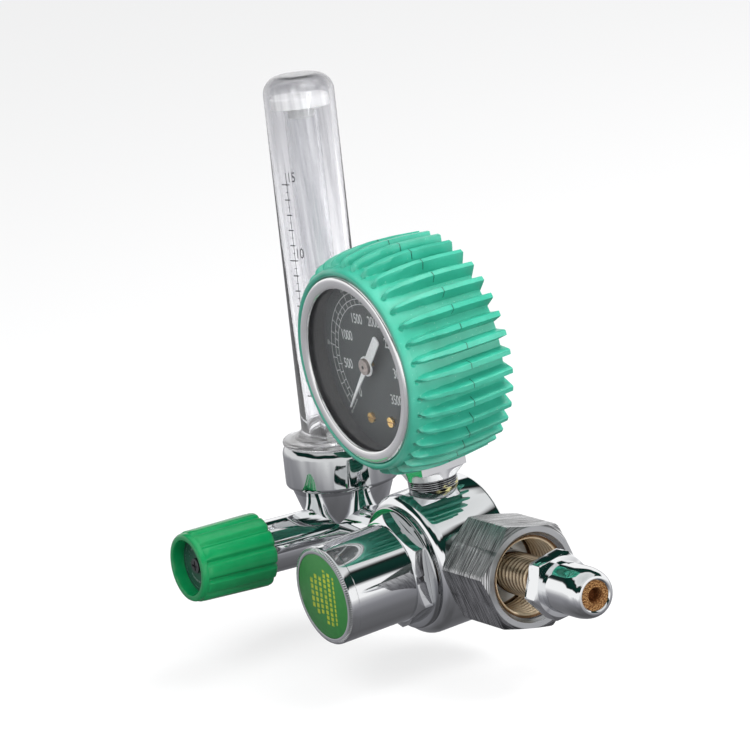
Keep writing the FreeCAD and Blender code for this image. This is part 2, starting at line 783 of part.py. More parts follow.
def sector_gear():
    """Toothed sector, its arbor and its tail; the fine teeth aren't cut."""
    y = sector_y - sector_thick / 2
    middle = 90 - sector_turn_deg / 2
    points = [V(0, y, sector_pivot_z)]
    steps = 12
    for k in range(steps + 1):
        t = math.radians(middle + sector_half_deg * (2 * k / steps - 1))
        points.append(V(sector_r * math.cos(t), y, sector_pivot_z + sector_r * math.sin(t)))
    solid = outline(points).extrude(V(0, sector_thick, 0))
    solid = solid.fuse(rod_y(sector_hub_r, y - over, y + sector_thick + over, 0, sector_pivot_z))
    half = sector_hub_r / 2
    tail = box(0, sector_tail_long, y, y + sector_thick, sector_pivot_z - half, sector_pivot_z + half)
    shaft = rod_y(arbor_r, plate_front_y, plate_rear_y + plate_thick, 0, sector_pivot_z)
    return solid.fuse(tail).fuse(shaft)


def bourdon_tube():
    """Flattened tube bent round three quarters of a circle, soldered to the stem."""
    half = bourdon_thick / 2
    y0, y1 = bourdon_front_y, bourdon_front_y + bourdon_wide
    start = bourdon_foot_deg - bourdon_sweep_deg
    face = outline([polar(bourdon_r - half, start, y0), polar(bourdon_r + half, start, y0),
                    polar(bourdon_r + half, start, y1), polar(bourdon_r - half, start, y1)])
    tube = face.revolve(V(0, 0, gauge_z), V(0, -1, 0), bourdon_sweep_deg)
    edges = [e for e in tube.Edges if e.Length > bourdon_r]
    tube = tube.makeFillet(bourdon_edge_r, edges)
    foot_top = polar(bourdon_r, bourdon_foot_deg, y0)
    foot = box(foot_top.x - over, -stem_head_x / 2 + over, -stem_head_y / 2 + over, stem_head_y / 2 - over,
               foot_top.z - half, foot_top.z + half)
    return tube.fuse(foot).cut(gauge_socket())


def bourdon_tip():
    """Block that closes the tube's free end and carries the link."""
    start = bourdon_foot_deg - bourdon_sweep_deg
    end = polar(bourdon_r, start, bourdon_front_y)
    half = bourdon_thick / 2
    low = end.z - bourdon_tip_long - seat_gap
    return box(end.x - half, end.x + half, link_y(), bourdon_front_y + bourdon_wide, low, end.z - seat_gap)


def link_y():
    return sector_y + sector_thick / 2 + gear_gap


def tip_link():
    """Thin bar from the tube's free end to the sector's tail."""
    start = bourdon_foot_deg - bourdon_sweep_deg
    end = polar(bourdon_r, start, bourdon_front_y)
    far = V(end.x - bourdon_thick / 2 - sector_hub_r / 3, link_y(), end.z - bourdon_tip_long / 2)
    near = V(sector_tail_long - sector_hub_r / 2, link_y(), sector_pivot_z)
    way = far.sub(near)
    side = V(-way.z, 0, way.x).normalize().multiply(sector_hub_r / 3)
    bar = outline([near.add(side), far.add(side), far.sub(side), near.sub(side)])
    return bar.extrude(V(0, sector_thick, 0))


def hairspring():
    """Flat spiral that takes the play out of the gears; half-turns on two centres."""
    y = plate_front_y + plate_thick + hair_wide
    solid = None
    step = hair_pitch / 2
    for k in range(2 * hair_turns):
        upper = k % 2 == 0
        x = 0.0 if upper else step / 2
        r = hair_inner_r + k * step / 2
        band = rod_y(r + hair_thick, y, y + hair_wide, x, gauge_z)
        band = band.cut(rod_y(r, y - over, y + 2 * over, x, gauge_z))
        reach = hair_inner_r + hair_turns * hair_pitch + 2 * over
        low = gauge_z if upper else gauge_z - reach
        side = box(-reach, reach, y - over, y + 2 * over, low, low + reach)
        half = band.common(side)
        solid = half if solid is None else solid.fuse(half)
    return solid


def flow_body():
    """Forged body: cup for the tube, neck, valve tube, inlet arm and outlet boss."""
    c = collar_round
    c_in = c * (1 - sin45)
    lean_in = math.atan(collar_crown_in / collar_crown_high)
    crown_r = collar_crown_high / math.sin(2 * lean_in)
    crown_low = collar_top_z - collar_crown_high
    crown_mid = (collar_r - crown_r * (1 - math.cos(lean_in)), crown_low + crown_r * math.sin(lean_in))
    cup = lathe_z([(0, 0), (neck_low_r, 0), (neck_mid_r, neck_mid_z), (neck_top_r, collar_low_z),
                   (collar_r - c, collar_low_z),
                   ((collar_r - c_in, collar_low_z + c_in), (collar_r, collar_low_z + c)),
                   (collar_r, crown_low), (crown_mid, (collar_r - collar_crown_in, collar_top_z)),
                   (0, collar_top_z)], flow_x)
    solid = cup.fuse(rod_y(valve_tube_r, valve_tube_front_y, valve_tube_rear_y, flow_x, valve_z))
    arm_end = -math.sqrt(drum_r ** 2 - arm_r ** 2) - arm_r / 10
    solid = solid.fuse(rod_x(arm_r, flow_x, -drum_r - seat_gap))
    solid = solid.fuse(rod_x(port_thread_r, arm_end - arm_r, -tail_end))
    solid = solid.fuse(rod_z(outlet_boss_r, outlet_boss_low_z, 0, flow_x))
    feed_y = needle_tip_y + feed_gap
    riser_y = needle_tip_y - riser_back
    cuts = [
        rod_z(cover_skirt_r + slip, collar_floor_z, collar_top_z + over, flow_x),
        rod_z(tube_r + slip, cup_socket_z, collar_floor_z + over, flow_x),
        ring_z(tube_ring_wire_r + ring_gap, tube_r + tube_ring_wire_r, tube_ring_z(), flow_x),
        rod_z(passage_r, valve_z, cup_socket_z + over, flow_x, riser_y),
        rod_y(valve_bore_r, gland_inner_y, valve_seat_y, flow_x, valve_z),
        rod_y(valve_seat_r, valve_seat_y - over, feed_y + passage_r, flow_x, valve_z),
        rod_y(gland_thread_r + slip, valve_tube_front_y - over, gland_inner_y, flow_x, valve_z),
        rod_x(passage_r, flow_x, -tail_end + over, feed_y),
        rod_z(outlet_socket_r + slip, outlet_boss_low_z - over, outlet_boss_low_z + outlet_socket_deep,
              flow_x),
    ]
    for cut in cuts:
        solid = solid.cut(cut)
    return lean(solid)


def tube_ring_z():
    return (cup_socket_z + collar_floor_z) / 2


def cover_tube():
    """Clear outer tube: closed domed top, flange and a skirt that screws into the cup."""
    r, b = cover_r, cover_bore_r
    top, d = cover_top_z, cover_round
    low = collar_floor_z + 2 * cover_ring_wire_r + ring_gap
    flange = cover_flange_z
    upper = flange + cover_flange_high
    dome = top - d
    room = d - cover_wall
    edge = cover_wall / 2
    inner_top = top - cover_wall
    return lean(lathe_z([
        (b, low), (cover_skirt_r, low), (cover_skirt_r, flange), (cover_flange_r - edge, flange),
        (cover_flange_r, flange + edge), (cover_flange_r, upper - edge), (cover_flange_r - edge, upper),
        (r + edge, upper), (r, upper + edge), (r, dome),
        ((r - d + d * sin45, dome + d * sin45), (r - d, top)), (0, top), (0, inner_top),
        (b - room, inner_top), ((b - room + room * sin45, dome + room * sin45), (b, dome))], flow_x))


def cover_ring():
    z = collar_floor_z + cover_ring_wire_r
    mean = cover_skirt_r - cover_ring_wire_r - ring_gap
    return lean(ring_z(cover_ring_wire_r - ring_gap / 2, mean, z, flow_x))


def metering_tube():
    """Clear tube with a bore that widens upwards."""
    low, top = tube_low_z, tube_top_z
    wall = [(tube_bore_low_r, low), (tube_r, low), (tube_r, top), (tube_bore_high_r, top)]
    return lean(lathe_z(wall, flow_x))


def tube_ring():
    wire = tube_ring_wire_r - ring_gap / 2
    return lean(ring_z(wire, tube_r + tube_ring_wire_r, tube_ring_z(), flow_x))


def bore_at(z):
    share = (z - tube_low_z) / (tube_top_z - tube_low_z)
    return tube_bore_low_r + (tube_bore_high_r - tube_bore_low_r) * share


def float_stop():
    """Drilled plug on which the ball rests."""
    low = float_stop_top_z - float_stop_long
    solid = lathe_z([(float_stop_hole_r, low), (bore_at(low) - slip, low),
                     (bore_at(float_stop_top_z) - slip, float_stop_top_z),
                     (float_stop_hole_r, float_stop_top_z)], flow_x)
    return lean(solid)


def float_ball():
    sunk = ball_r - math.sqrt(ball_r ** 2 - float_stop_hole_r ** 2)
    return lean(Part.makeSphere(ball_r, V(flow_x, 0, ball_rest_z - sunk + seat_gap)))


def top_plug():
    """White plug that centres the metering tube in its cover and stops the ball."""
    z = plug_low_z
    r = cover_bore_r - slip
    spigot = bore_at(z - top_plug_spigot) - slip
    solid = lathe_z([(top_plug_hole_r, z - top_plug_spigot), (spigot, z - top_plug_spigot), (spigot, z),
                     (r, z), (r, z + top_plug_thick), (top_plug_hole_r, z + top_plug_thick)], flow_x)
    return lean(solid)


def outlet_fitting():
    """Threaded outlet that points down under the flowmeter."""
    base = outlet_boss_low_z
    hex_low = base - outlet_hex_thick
    bar = hexagon(outlet_hex_af, 0, lambda a, b: V(flow_x + a, b, hex_low))
    solid = bar.extrude(V(0, 0, outlet_hex_thick - seat_gap))
    solid = solid.fuse(rod_z(outlet_socket_r, base - over, base + outlet_socket_deep - seat_gap, flow_x))
    solid = solid.fuse(rod_z(outlet_r, hex_low - outlet_long, hex_low + over, flow_x))
    solid = solid.fuse(rod_z(outlet_nose_r, hex_low - outlet_long - outlet_nose_long, hex_low, flow_x))
    reach = outlet_long + outlet_nose_long + over
    return lean(solid.cut(rod_z(outlet_bore_r, hex_low - reach, base + outlet_socket_deep + over, flow_x)))


def valve_spindle():
    """Needle, thread, O-ring groove and the shank that carries the knob."""
    shoulder = needle_tip_y - needle_long
    front = spindle_front_y
    profile = [(0, needle_tip_y), (needle_tip_r, needle_tip_y), (spindle_r, shoulder),
               (spindle_thread_r, shoulder - spindle_step), (spindle_thread_r, spindle_thread_front_y),
               (spindle_r, spindle_thread_front_y), (spindle_r, front), (0, front)]
    solid = lathe_y(profile, flow_x)
    half = spindle_ring_wire_r + ring_gap
    groove = rod_y(spindle_r + over, spindle_ring_y - half, spindle_ring_y + half, flow_x)
    root = rod_y(spindle_root_r - ring_gap / 2, spindle_ring_y - 2 * half, spindle_ring_y + 2 * half, flow_x)
    solid = solid.cut(groove.cut(root))
    return lean_valve(solid.cut(rod_y(knob_screw_r + slip, front - over, front + knob_screw_long, flow_x)))


def spindle_ring():
    centre_r = spindle_root_r + spindle_ring_wire_r
    return lean_valve(ring_y(spindle_ring_wire_r, centre_r, spindle_ring_y, flow_x))


def gland_nut():
    """Nut that closes the valve tube round the spindle."""
    face = valve_tube_front_y
    solid = rod_y(gland_thread_r, face - over, face + gland_thread_long - slip, flow_x)
    head = rod_y(gland_r, face - gland_head_long, face - seat_gap, flow_x)
    bore = rod_y(spindle_r + slip, face - gland_head_long - over, face + gland_thread_long + over, flow_x)
    return lean_valve(solid.fuse(head).cut(bore))


def knob_star():
    """Prism with a rounded groove between each two lobes."""
    prism = rod_y(knob_rear_r + over, knob_front_y + knob_rim_long, knob_rear_y + over, flow_x)
    for k in range(knob_lobes):
        t = math.radians((k + 0.5) * 360.0 / knob_lobes)
        r = (knob_front_r + knob_rear_r) / 2 + knob_groove_out
        prism = prism.cut(rod_y(knob_groove_r, knob_front_y - over, knob_rear_y + 2 * over,
                                flow_x + r * math.cos(t), r * math.sin(t)))
    rim_y = knob_front_y + knob_rim_long + slip
    return prism.fuse(rod_y(knob_rear_r + over, knob_front_y - over, rim_y, flow_x))


def flow_knob():
    """Moulded knob, hollow behind so that it covers the gland nut."""
    e = knob_edge
    f, b = knob_front_y, knob_rear_y
    solid = lathe_y([(0, f), (knob_front_r - e, f), (knob_front_r, f + e), (knob_rear_r, b - 2 * e),
                     (knob_rear_r - e, b), (0, b)], flow_x)
    solid = solid.common(knob_star())
    solid = solid.cut(rod_y(knob_recess_r, f - over, knob_web_front_y, flow_x))
    solid = solid.cut(rod_y(knob_cavity_r, knob_web_rear_y, b + over, flow_x))
    front = spindle_front_y - knob_disc_thick
    solid = solid.cut(rod_y(spindle_r + slip, spindle_front_y, b, flow_x))
    return lean_valve(solid.cut(rod_y(knob_screw_r + slip, front - over, spindle_front_y + over, flow_x)))


def knob_disc():
    rear = knob_web_front_y - seat_gap
    solid = rod_y(knob_recess_r - slip, rear - knob_disc_thick, rear, flow_x)
    return lean_valve(solid.cut(rod_y(knob_screw_r + slip, rear - 2 * over, rear + over, flow_x)))


def knob_screw():
    under = knob_web_front_y - seat_gap - knob_disc_thick - seat_gap
    head = rod_y(knob_screw_head_r, under - knob_screw_head_high, under, flow_x)
    shank = rod_y(knob_screw_r, under - slip, spindle_front_y + knob_screw_long - over, flow_x)
    arm = knob_screw_cross
    slit = knob_screw_r / 4
    deep = under - knob_screw_head_high / 2
    top = under - knob_screw_head_high
    solid = head.fuse(shank)
    solid = solid.cut(box(flow_x - arm, flow_x + arm, top, deep, -slit, slit))
    return lean_valve(solid.cut(box(flow_x - slit, flow_x + slit, top, deep, -arm, arm)))


PIECES = {
    "body_drum": body_drum,
    "lock_ring": lock_ring,
    "bonnet": bonnet,
    "bonnet_end_cap": bonnet_end_cap,
    "label_disc": label_disc,
    "piston": piston,
    "seat_disc": seat_disc,
    "piston_ring": piston_ring,
    "stem_ring": stem_ring,
    "seat_nozzle": seat_nozzle,
    "main_spring": main_spring,
    "inlet_nipple": inlet_nipple,
    "sintered_filter": sintered_filter,
    "inlet_nut": inlet_nut,
    "nut_slip_ring": nut_slip_ring,
    "gauge_socket": gauge_socket,
    "gauge_case": gauge_case,
    "gauge_bezel": gauge_bezel,
    "gauge_lens": gauge_lens,
    "gauge_dial": gauge_dial,
    "dial_screws": dial_screws,
    "gauge_boot": gauge_boot,
    "gauge_pointer": gauge_pointer,
    "pointer_arbor": pointer_arbor,
    "movement_front_plate": lambda: movement_plate(plate_front_y),
    "movement_rear_plate": lambda: movement_plate(plate_rear_y),
    "movement_pillars": movement_pillars,
    "sector_gear": sector_gear,
    "bourdon_tube": bourdon_tube,
    "bourdon_tip": bourdon_tip,
    "tip_link": tip_link,
    "hairspring": hairspring,
    "flow_body": flow_body,
    "cover_tube": cover_tube,
    "cover_ring": cover_ring,
    "metering_tube": metering_tube,
    "tube_ring": tube_ring,
    "float_stop": float_stop,
    "float_ball": float_ball,
    "top_plug": top_plug,
    "outlet_fitting": outlet_fitting,
    "valve_spindle": valve_spindle,
    "spindle_ring": spindle_ring,
    "gland_nut": gland_nut,
    "flow_knob": flow_knob,
    "knob_disc": knob_disc,
    "knob_screw": knob_screw,
}

os.makedirs("parts", exist_ok=True)
for name, make in PIECES.items():
    shape = make()
    shape.translate(V(-origin_x, 0, 0))
    shape.exportStep("parts/" + name + ".step")
    print(name, "solids", len(shape.Solids), "valid", shape.isValid(), "volume", round(shape.Volume, 1))
print("moved", -origin_x, "nut", nut_travel, "ball", ball_travel, "knob", knob_travel, "piston", piston_lift)
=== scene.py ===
import bmesh
import bpy
import math
from mathutils import Matrix, Vector


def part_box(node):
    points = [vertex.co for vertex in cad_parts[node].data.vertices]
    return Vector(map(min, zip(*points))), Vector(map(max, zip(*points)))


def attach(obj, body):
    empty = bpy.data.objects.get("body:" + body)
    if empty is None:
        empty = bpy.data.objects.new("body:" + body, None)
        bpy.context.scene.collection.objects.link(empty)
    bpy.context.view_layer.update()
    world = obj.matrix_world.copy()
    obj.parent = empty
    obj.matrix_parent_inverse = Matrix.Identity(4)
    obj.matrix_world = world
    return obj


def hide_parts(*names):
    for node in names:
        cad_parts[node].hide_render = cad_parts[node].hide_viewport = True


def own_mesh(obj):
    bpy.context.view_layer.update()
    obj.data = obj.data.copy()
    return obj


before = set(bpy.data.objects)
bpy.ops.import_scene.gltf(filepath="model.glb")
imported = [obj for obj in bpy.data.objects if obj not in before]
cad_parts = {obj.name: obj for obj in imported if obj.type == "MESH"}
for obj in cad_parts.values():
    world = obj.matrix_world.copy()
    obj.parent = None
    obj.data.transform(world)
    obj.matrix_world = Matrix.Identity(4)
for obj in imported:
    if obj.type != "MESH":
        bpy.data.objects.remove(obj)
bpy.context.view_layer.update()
scene = bpy.context.scene
scene.view_settings.view_transform = "Standard"

# Photographer's camera: a long lens a little above the regulator and rolled ten degrees, looking
# past the inlet nipple at the gauge.
camera_data = bpy.data.cameras.new("camera")
camera_data.lens = 190.44
camera_data.sensor_width = 36.0
camera_data.clip_start = 0.05
camera = bpy.data.objects.new("camera", camera_data)
camera.location = (0.86692, -0.54971, 0.33097)
camera.rotation_euler = [math.radians(a) for a in (75.4369, 9.96694, 57.41214)]
scene.collection.objects.link(camera)
scene.camera = camera

# Studio: a white table, a white room for the lens, and for polished metal a room with a dark
# green overhead, pale walls and a grey floor, as the plating shows them.
MM = 0.001


class Wiring:
    """Adds nodes to one tree and joins them. A value is a number, a colour or another socket."""

    def __init__(self, tree):
        self.tree, self.nodes = tree, tree.nodes

    def put(self, value, socket):
        if isinstance(value, bpy.types.NodeSocket):
            self.tree.links.new(value, socket)
        else:
            socket.default_value = (*value, 1) if socket.type == "RGBA" else value

    def fill(self, node, inputs):
        """Sets a node's inputs by name or number, and gives its outputs."""
        for name, value in inputs.items():
            self.put(value, node.inputs[name])
        return node.outputs

    def add(self, kind, inputs, output=0):
        return self.fill(self.nodes.new("ShaderNode" + kind), inputs)[output]

    def math(self, operation, *values):
        node = self.nodes.new("ShaderNodeMath")
        node.operation = operation
        return self.fill(node, dict(enumerate(values)))[0]

    def times(self, first, second):
        return self.math("MULTIPLY", first, second)

    def span(self, value, low, high, to_low=0.0, to_high=1.0):
        """Maps one range of a value onto another and holds it at both ends."""
        return self.add("MapRange", {"Value": value, "From Min": low, "From Max": high,
                                     "To Min": to_low, "To Max": to_high})

    def mix(self, factor, first, second):
        """Mixes two colours by a mask."""
        node = self.nodes.new("ShaderNodeMix")
        node.data_type = "RGBA"
        self.put(factor, node.inputs["Factor"])
        for name, colour in (("A", first), ("B", second)):
            self.put(colour, [s for s in node.inputs if s.name == name and s.type == "RGBA"][0])
        return [s for s in node.outputs if s.type == "RGBA"][0]

    def noise(self, place, scale, detail=2.0):
        return self.add("TexNoise", {"Vector": place, "Scale": scale, "Detail": detail}, "Fac")

    def stretch(self, place, scale, rotation=(0, 0, 0)):
        return self.add("Mapping", {"Vector": place, "Scale": scale, "Rotation": rotation})

    def measure_from(self, place, at, tilt):
        """A place measured from a point, along axes that are tilted."""
        node = self.nodes.new("ShaderNodeMapping")
        node.vector_type = "TEXTURE"
        return self.fill(node, {"Vector": place, "Location": at, "Rotation": tilt})[0]

    def split(self, place):
        return tuple(self.fill(self.nodes.new("ShaderNodeSeparateXYZ"), {0: place}))

    def rays(self):
        return self.nodes.new("ShaderNodeLightPath").outputs


class Finish(Wiring):
    """A material in the making, with its shader and the place of a point on the object."""

    def __init__(self, name):
        self.material = bpy.data.materials.new(name)
        self.material.use_nodes = True
        super().__init__(self.material.node_tree)
        self.shader = self.nodes["Principled BSDF"]
        self.place = self.nodes.new("ShaderNodeTexCoord").outputs["Object"]

    def set(self, name, value):
        self.put(value, self.shader.inputs[name])

    def grain(self, scale, detail=2.0):
        return self.noise(self.place, scale, detail)

    def relief(self, height, depth):
        """Raises a pattern by a depth in millimetres."""
        inputs = {"Strength": 1.0, "Distance": depth * MM, "Height": height}
        self.set("Normal", self.add("Bump", inputs))


table_z = -0.0322
bm = bmesh.new()
bmesh.ops.create_grid(bm, x_segments=1, y_segments=1, size=6.0)
bmesh.ops.translate(bm, verts=bm.verts, vec=(0, 0, table_z))
table_mesh = bpy.data.meshes.new("table_top")
bm.to_mesh(table_mesh)
bm.free()
table_top = bpy.data.objects.new("table_top", table_mesh)
table_top.visible_glossy = False
scene.collection.objects.link(table_top)
paper = Finish("white_paper")
rays = paper.rays()
paper.set("Base Color", paper.mix(rays["Is Diffuse Ray"], (0.93, 0.93, 0.93), (0.48, 0.48, 0.48)))
paper.set("Roughness", 0.9)
paper.set("Specular IOR Level", 0.0)
glow = paper.add("Emission", {"Strength": 1.0})
glow_part = paper.times(rays["Is Camera Ray"], 0.72)
paper_look = paper.add("MixShader", {0: glow_part, 1: paper.shader.outputs[0], 2: glow})
paper.put(paper_look, paper.nodes["Material Output"].inputs[0])
table_mesh.materials.append(paper.material)

room = bpy.data.worlds.new("studio_room")
scene.world = room
room.use_nodes = True
air = Wiring(room.node_tree)
air.nodes.clear()
outward = air.add("TexCoord", {}, "Generated")
east, north, up = air.split(outward)
tilted = air.math("MULTIPLY_ADD", east, 0.12, up)
height = air.span(air.math("MULTIPLY_ADD", air.noise(outward, 2.6, 1.0), 0.30, tilted), -0.85, 1.15)
walls = air.nodes.new("ShaderNodeValToRGB")
ramp = walls.color_ramp
ramp.elements[0].position = 0.0
ramp.elements[0].color = (0.09, 0.09, 0.095, 1)
ramp.elements[1].position = 1.0
ramp.elements[1].color = (0.62, 0.64, 0.64, 1)
for place, shade in ((0.16, (0.15, 0.15, 0.16)), (0.29, (0.26, 0.26, 0.28)), (0.37, (0.40, 0.40, 0.42)),
                     (0.44, (0.72, 0.72, 0.73)), (0.48, (1.0, 1.0, 1.0)), (0.67, (1.0, 1.0, 1.0)),
                     (0.70, (0.02, 0.03, 0.03)), (0.735, (0.004, 0.022, 0.018)),
                     (0.82, (0.006, 0.034, 0.026)), (0.85, (0.01, 0.01, 0.01)), (0.88, (0.80, 0.81, 0.81))):
    ramp.elements.new(place).color = shade + (1,)
air.put(height, walls.inputs[0])
rays = air.rays()
seen = air.add("Background", {"Color": (1, 1, 1)})
mirrored = air.add("Background", {"Color": walls.outputs[0]})
lit_side = air.span(east, -1.0, 1.0, 0.20, 0.74)
filled = air.add("Background", {"Color": (0.97, 0.98, 1.0), "Strength": lit_side})
refracted = air.add("Background", {"Color": (0.66, 0.66, 0.68)})
within = air.math("GREATER_THAN", rays["Transmission Depth"], 0.5)
lit = air.add("MixShader", {0: rays["Is Glossy Ray"], 1: filled, 2: mirrored})
lit = air.add("MixShader", {0: within, 1: lit, 2: refracted})
lit = air.add("MixShader", {0: rays["Is Camera Ray"], 1: lit, 2: seen})
air.fill(air.nodes.new("ShaderNodeOutputWorld"), {0: lit})

for lamp_name, place, size, watts in (("window_lamp", (0.35, -0.65, 0.80), 0.5, 6.6),
                                      ("top_lamp", (0.25, 0.35, 0.9), 0.6, 9.5),
                                      ("side_lamp", (0.8, 0.1, 0.25), 0.35, 5.6)):
    lamp_data = bpy.data.lights.new(lamp_name, "AREA")
    lamp_data.size = size
    lamp_data.energy = watts
    lamp = bpy.data.objects.new(lamp_name, lamp_data)
    lamp.location = place
    lamp.rotation_euler = (Vector((-0.06, 0, 0.04)) - lamp.location).to_track_quat("-Z", "Y").to_euler()
    lamp.visible_glossy = False
    scene.collection.objects.link(lamp)

# Body drum: turned from brass bar and chromium plated, with a turned boss for the inlet. The
# plating is bright but carries fine wiping scratches and a few dark pin-holes.
crossing = Vector((-63.2, 0, 0))
to_front, to_inlet = (0, -1, 0), (1, 0, 0)


def turn(outline, along, at, steps=144):
    """Spins (radius, height) points about an axis at a place, all in millimetres."""
    shell = bmesh.new()
    points = [shell.verts.new((r * MM, 0, h * MM)) for r, h in outline]
    edges = [shell.edges.new(pair) for pair in zip(points, points[1:])]
    if outline[0][0] > 0 and outline[-1][0] > 0:
        edges.append(shell.edges.new((points[-1], points[0])))
    bmesh.ops.spin(shell, geom=points + edges, cent=(0, 0, 0), axis=(0, 0, 1), dvec=(0, 0, 0),
                   angle=math.tau, steps=steps, use_merge=True)
    bmesh.ops.remove_doubles(shell, verts=shell.verts, dist=1e-7)
    bmesh.ops.recalc_face_normals(shell, faces=shell.faces)
    stand = Vector((0, 0, 1)).rotation_difference(Vector(along)).to_matrix().to_4x4()
    bmesh.ops.transform(shell, matrix=Matrix.Translation(Vector(at) * MM) @ stand, verts=shell.verts)
    return shell


def arc(centre, radius, start, end, count=6):
    """Points of an arc in an outline, from one angle to another."""
    turns = [math.radians(start + (end - start) * k / count) for k in range(count + 1)]
    return [(centre[0] + radius * math.cos(t), centre[1] + radius * math.sin(t)) for t in turns]


def break_edges(shell, size, over=28):
    """Takes the sharpness off every machined edge."""
    sharp = [e for e in shell.edges
             if len(e.link_faces) == 2 and e.calc_face_angle() > math.radians(over)]
    bmesh.ops.bevel(shell, geom=sharp, offset=size * MM, segments=2, profile=0.5, affect="EDGES",
                    material=-1, clamp_overlap=True)
    return shell


def assemble(name, shells, finish, body, stands_for=(), smooth=32):
    """Makes one piece of its shells, with its finish, its body and what it stands for."""
    whole = bmesh.new()
    for shell in shells:
        part = bpy.data.meshes.new("part")
        shell.to_mesh(part)
        whole.from_mesh(part)
        shell.free()
        bpy.data.meshes.remove(part)
    mesh = bpy.data.meshes.new(name)
    whole.to_mesh(mesh)
    whole.free()
    mesh.shade_smooth()
    mesh.set_sharp_from_angle(angle=math.radians(smooth))
    mesh.materials.append(finish.material)
    piece = bpy.data.objects.new(name, mesh)
    scene.collection.objects.link(piece)
    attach(piece, body)
    if stands_for:
        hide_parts(*stands_for)
    return piece


def new_group(name, takes, gives):
    """An empty node group; its socket Place is a vector and the others are numbers."""
    tree = bpy.data.node_groups.new(name, "ShaderNodeTree")
    for sockets, way in ((takes, "INPUT"), (gives, "OUTPUT")):
        for socket in sockets:
            kind = "NodeSocketVector" if socket == "Place" else "NodeSocketFloat"
            tree.interface.new_socket(socket, in_out=way, socket_type=kind)
    inside = Wiring(tree)
    given = inside.nodes.new("NodeGroupInput").outputs
    made = inside.nodes.new("NodeGroupOutput").inputs
    return inside, given, made


def use_group(finish, group, inputs):
    node = finish.nodes.new("ShaderNodeGroup")
    node.node_tree = group.tree
    return finish.fill(node, inputs)


plating, given, made = new_group("plating_marks", ("Place", "Pin Holes", "Scratches"),
                                 ("Hole Mask", "Haze", "Relief"))
cells = plating.add("TexVoronoi", {"Vector": given["Place"], "Scale": 420}, "Distance")
rare = plating.span(plating.noise(given["Place"], 240), 0.64, 0.70)
pits = plating.times(plating.times(plating.math("LESS_THAN", cells, 0.13), rare), given["Pin Holes"])
plating.put(pits, made["Hole Mask"])
hairs = plating.noise(plating.stretch(given["Place"], (900, 60, 900), (0.3, 0.5, 0.6)), 1.0, 4.0)
patches = plating.span(plating.noise(given["Place"], 70), 0.5, 0.7)
rubbed = plating.times(plating.span(hairs, 0.60, 0.78), patches)
haze = plating.times(rubbed, given["Scratches"])
plating.put(haze, made["Haze"])
plating.put(plating.math("ADD", haze, pits), made["Relief"])
# The dark grey serves the plating's pin-holes and the painted shade in the end cap's knurl grooves.
chrome_white, pit_grey_and_groove_shade = (0.86, 0.87, 0.88), (0.30, 0.31, 0.32)


def plated(name, colour=chrome_white, rough=0.035, holes=1.0, scratches=0.6):
    """Chromium plate with pin-holes and wiping scratches."""
    plate = Finish(name)
    marks = use_group(plate, plating, {"Place": plate.place, "Pin Holes": holes, "Scratches": scratches})
    plate.set("Base Color", plate.mix(marks["Hole Mask"], colour, pit_grey_and_groove_shade))
    plate.set("Roughness", plate.math("MULTIPLY_ADD", marks["Haze"], 0.25, rough))
    plate.set("Metallic", 1.0)
    plate.relief(marks["Relief"], -0.004)
    return plate


chrome = plated("polished_chrome")
drum_outline = ([(0, -13.7)] + arc((17.25, -10.3), 3.4, -90, 0, 8) +
                arc((19.65, 9.2), 1.0, 0, 90, 4) + [(0, 10.2)])
drum_shell = turn([(r, -h) for r, h in reversed(drum_outline)], to_front, crossing, 180)
boss_outline = [(0, 0), (9.0, 0), (9.0, 21.85), (0, 21.85)]
boss_shell = break_edges(turn(boss_outline, to_inlet, crossing), 0.4)
assemble("drum", [drum_shell, boss_shell], chrome, "regulator", ["body_drum"])

# Lock ring: a flat turned ring pinched between the bonnet's hexagon and the drum. Its plating is painted
# darker than the plating round it, as painted shade in its recess.
ring_shaded_chrome = plated("lock_ring_chrome", colour=(0.55, 0.56, 0.57), rough=0.06)
ring_shell = turn([(13.9, 13.72), (17.6, 13.72), (18.0, 14.1), (18.0, 15.0), (17.6, 15.38), (13.9, 15.38)],
                  to_front, crossing)
assemble("lock_ring_turned", [break_edges(ring_shell, 0.1)], ring_shaded_chrome, "regulator",
         ["lock_ring"])

# Bonnet: one turned and plated piece with a spanner hexagon, screwed into the drum over the main
# spring. The hexagon's front corners are turned off at thirty degrees.
bonnet_chrome = plated("bonnet_chrome", rough=0.05, holes=0.8, scratches=0.9)


def square_up(shell, along, at, across_flats, turned_by, ends):
    """Moves the rim of a turned bar out to the flats and corners of a spanner bar."""
    stand = Vector((0, 0, 1)).rotation_difference(Vector(along)).to_matrix().to_4x4()
    way = Matrix.Translation(Vector(at) * MM) @ stand
    bmesh.ops.transform(shell, matrix=way.inverted(), verts=shell.verts)
    half, sector = across_flats * MM / 2, 60
    for vert in shell.verts:
        if math.hypot(vert.co.x, vert.co.y) > half * 1.001:
            angle = math.degrees(math.atan2(vert.co.y, vert.co.x)) - turned_by
            reach = half / math.cos(math.radians(angle % sector - sector / 2))
            for end, inward in ends:
                if abs(vert.co.z - end * MM) < 0.1 * MM:
                    vert.co.z = end * MM + inward * (reach - half) * math.tan(math.radians(30))
            vert.co.xy = vert.co.xy.normalized() * reach
    bmesh.ops.transform(shell, matrix=way, verts=shell.verts)
    return shell


hexagon_outline = [(0, 15.4), (16.9, 15.4), (16.9, 19.51), (14.65, 19.5), (0, 19.5)]
hexagon_shell = turn(hexagon_outline, to_front, crossing)
square_up(hexagon_shell, to_front, crossing, 29.3, 30, [(19.51, -1)])
barrel_outline = [(0, 19.0), (14.3, 19.0), (14.3, 38.4), (14.15, 38.55), (0, 38.55)]
barrel_shell = turn(barrel_outline, to_front, crossing, 180)
assemble("bonnet_turned", [break_edges(hexagon_shell, 0.14, 20), barrel_shell], bonnet_chrome, "regulator",
         ["bonnet"], 20)

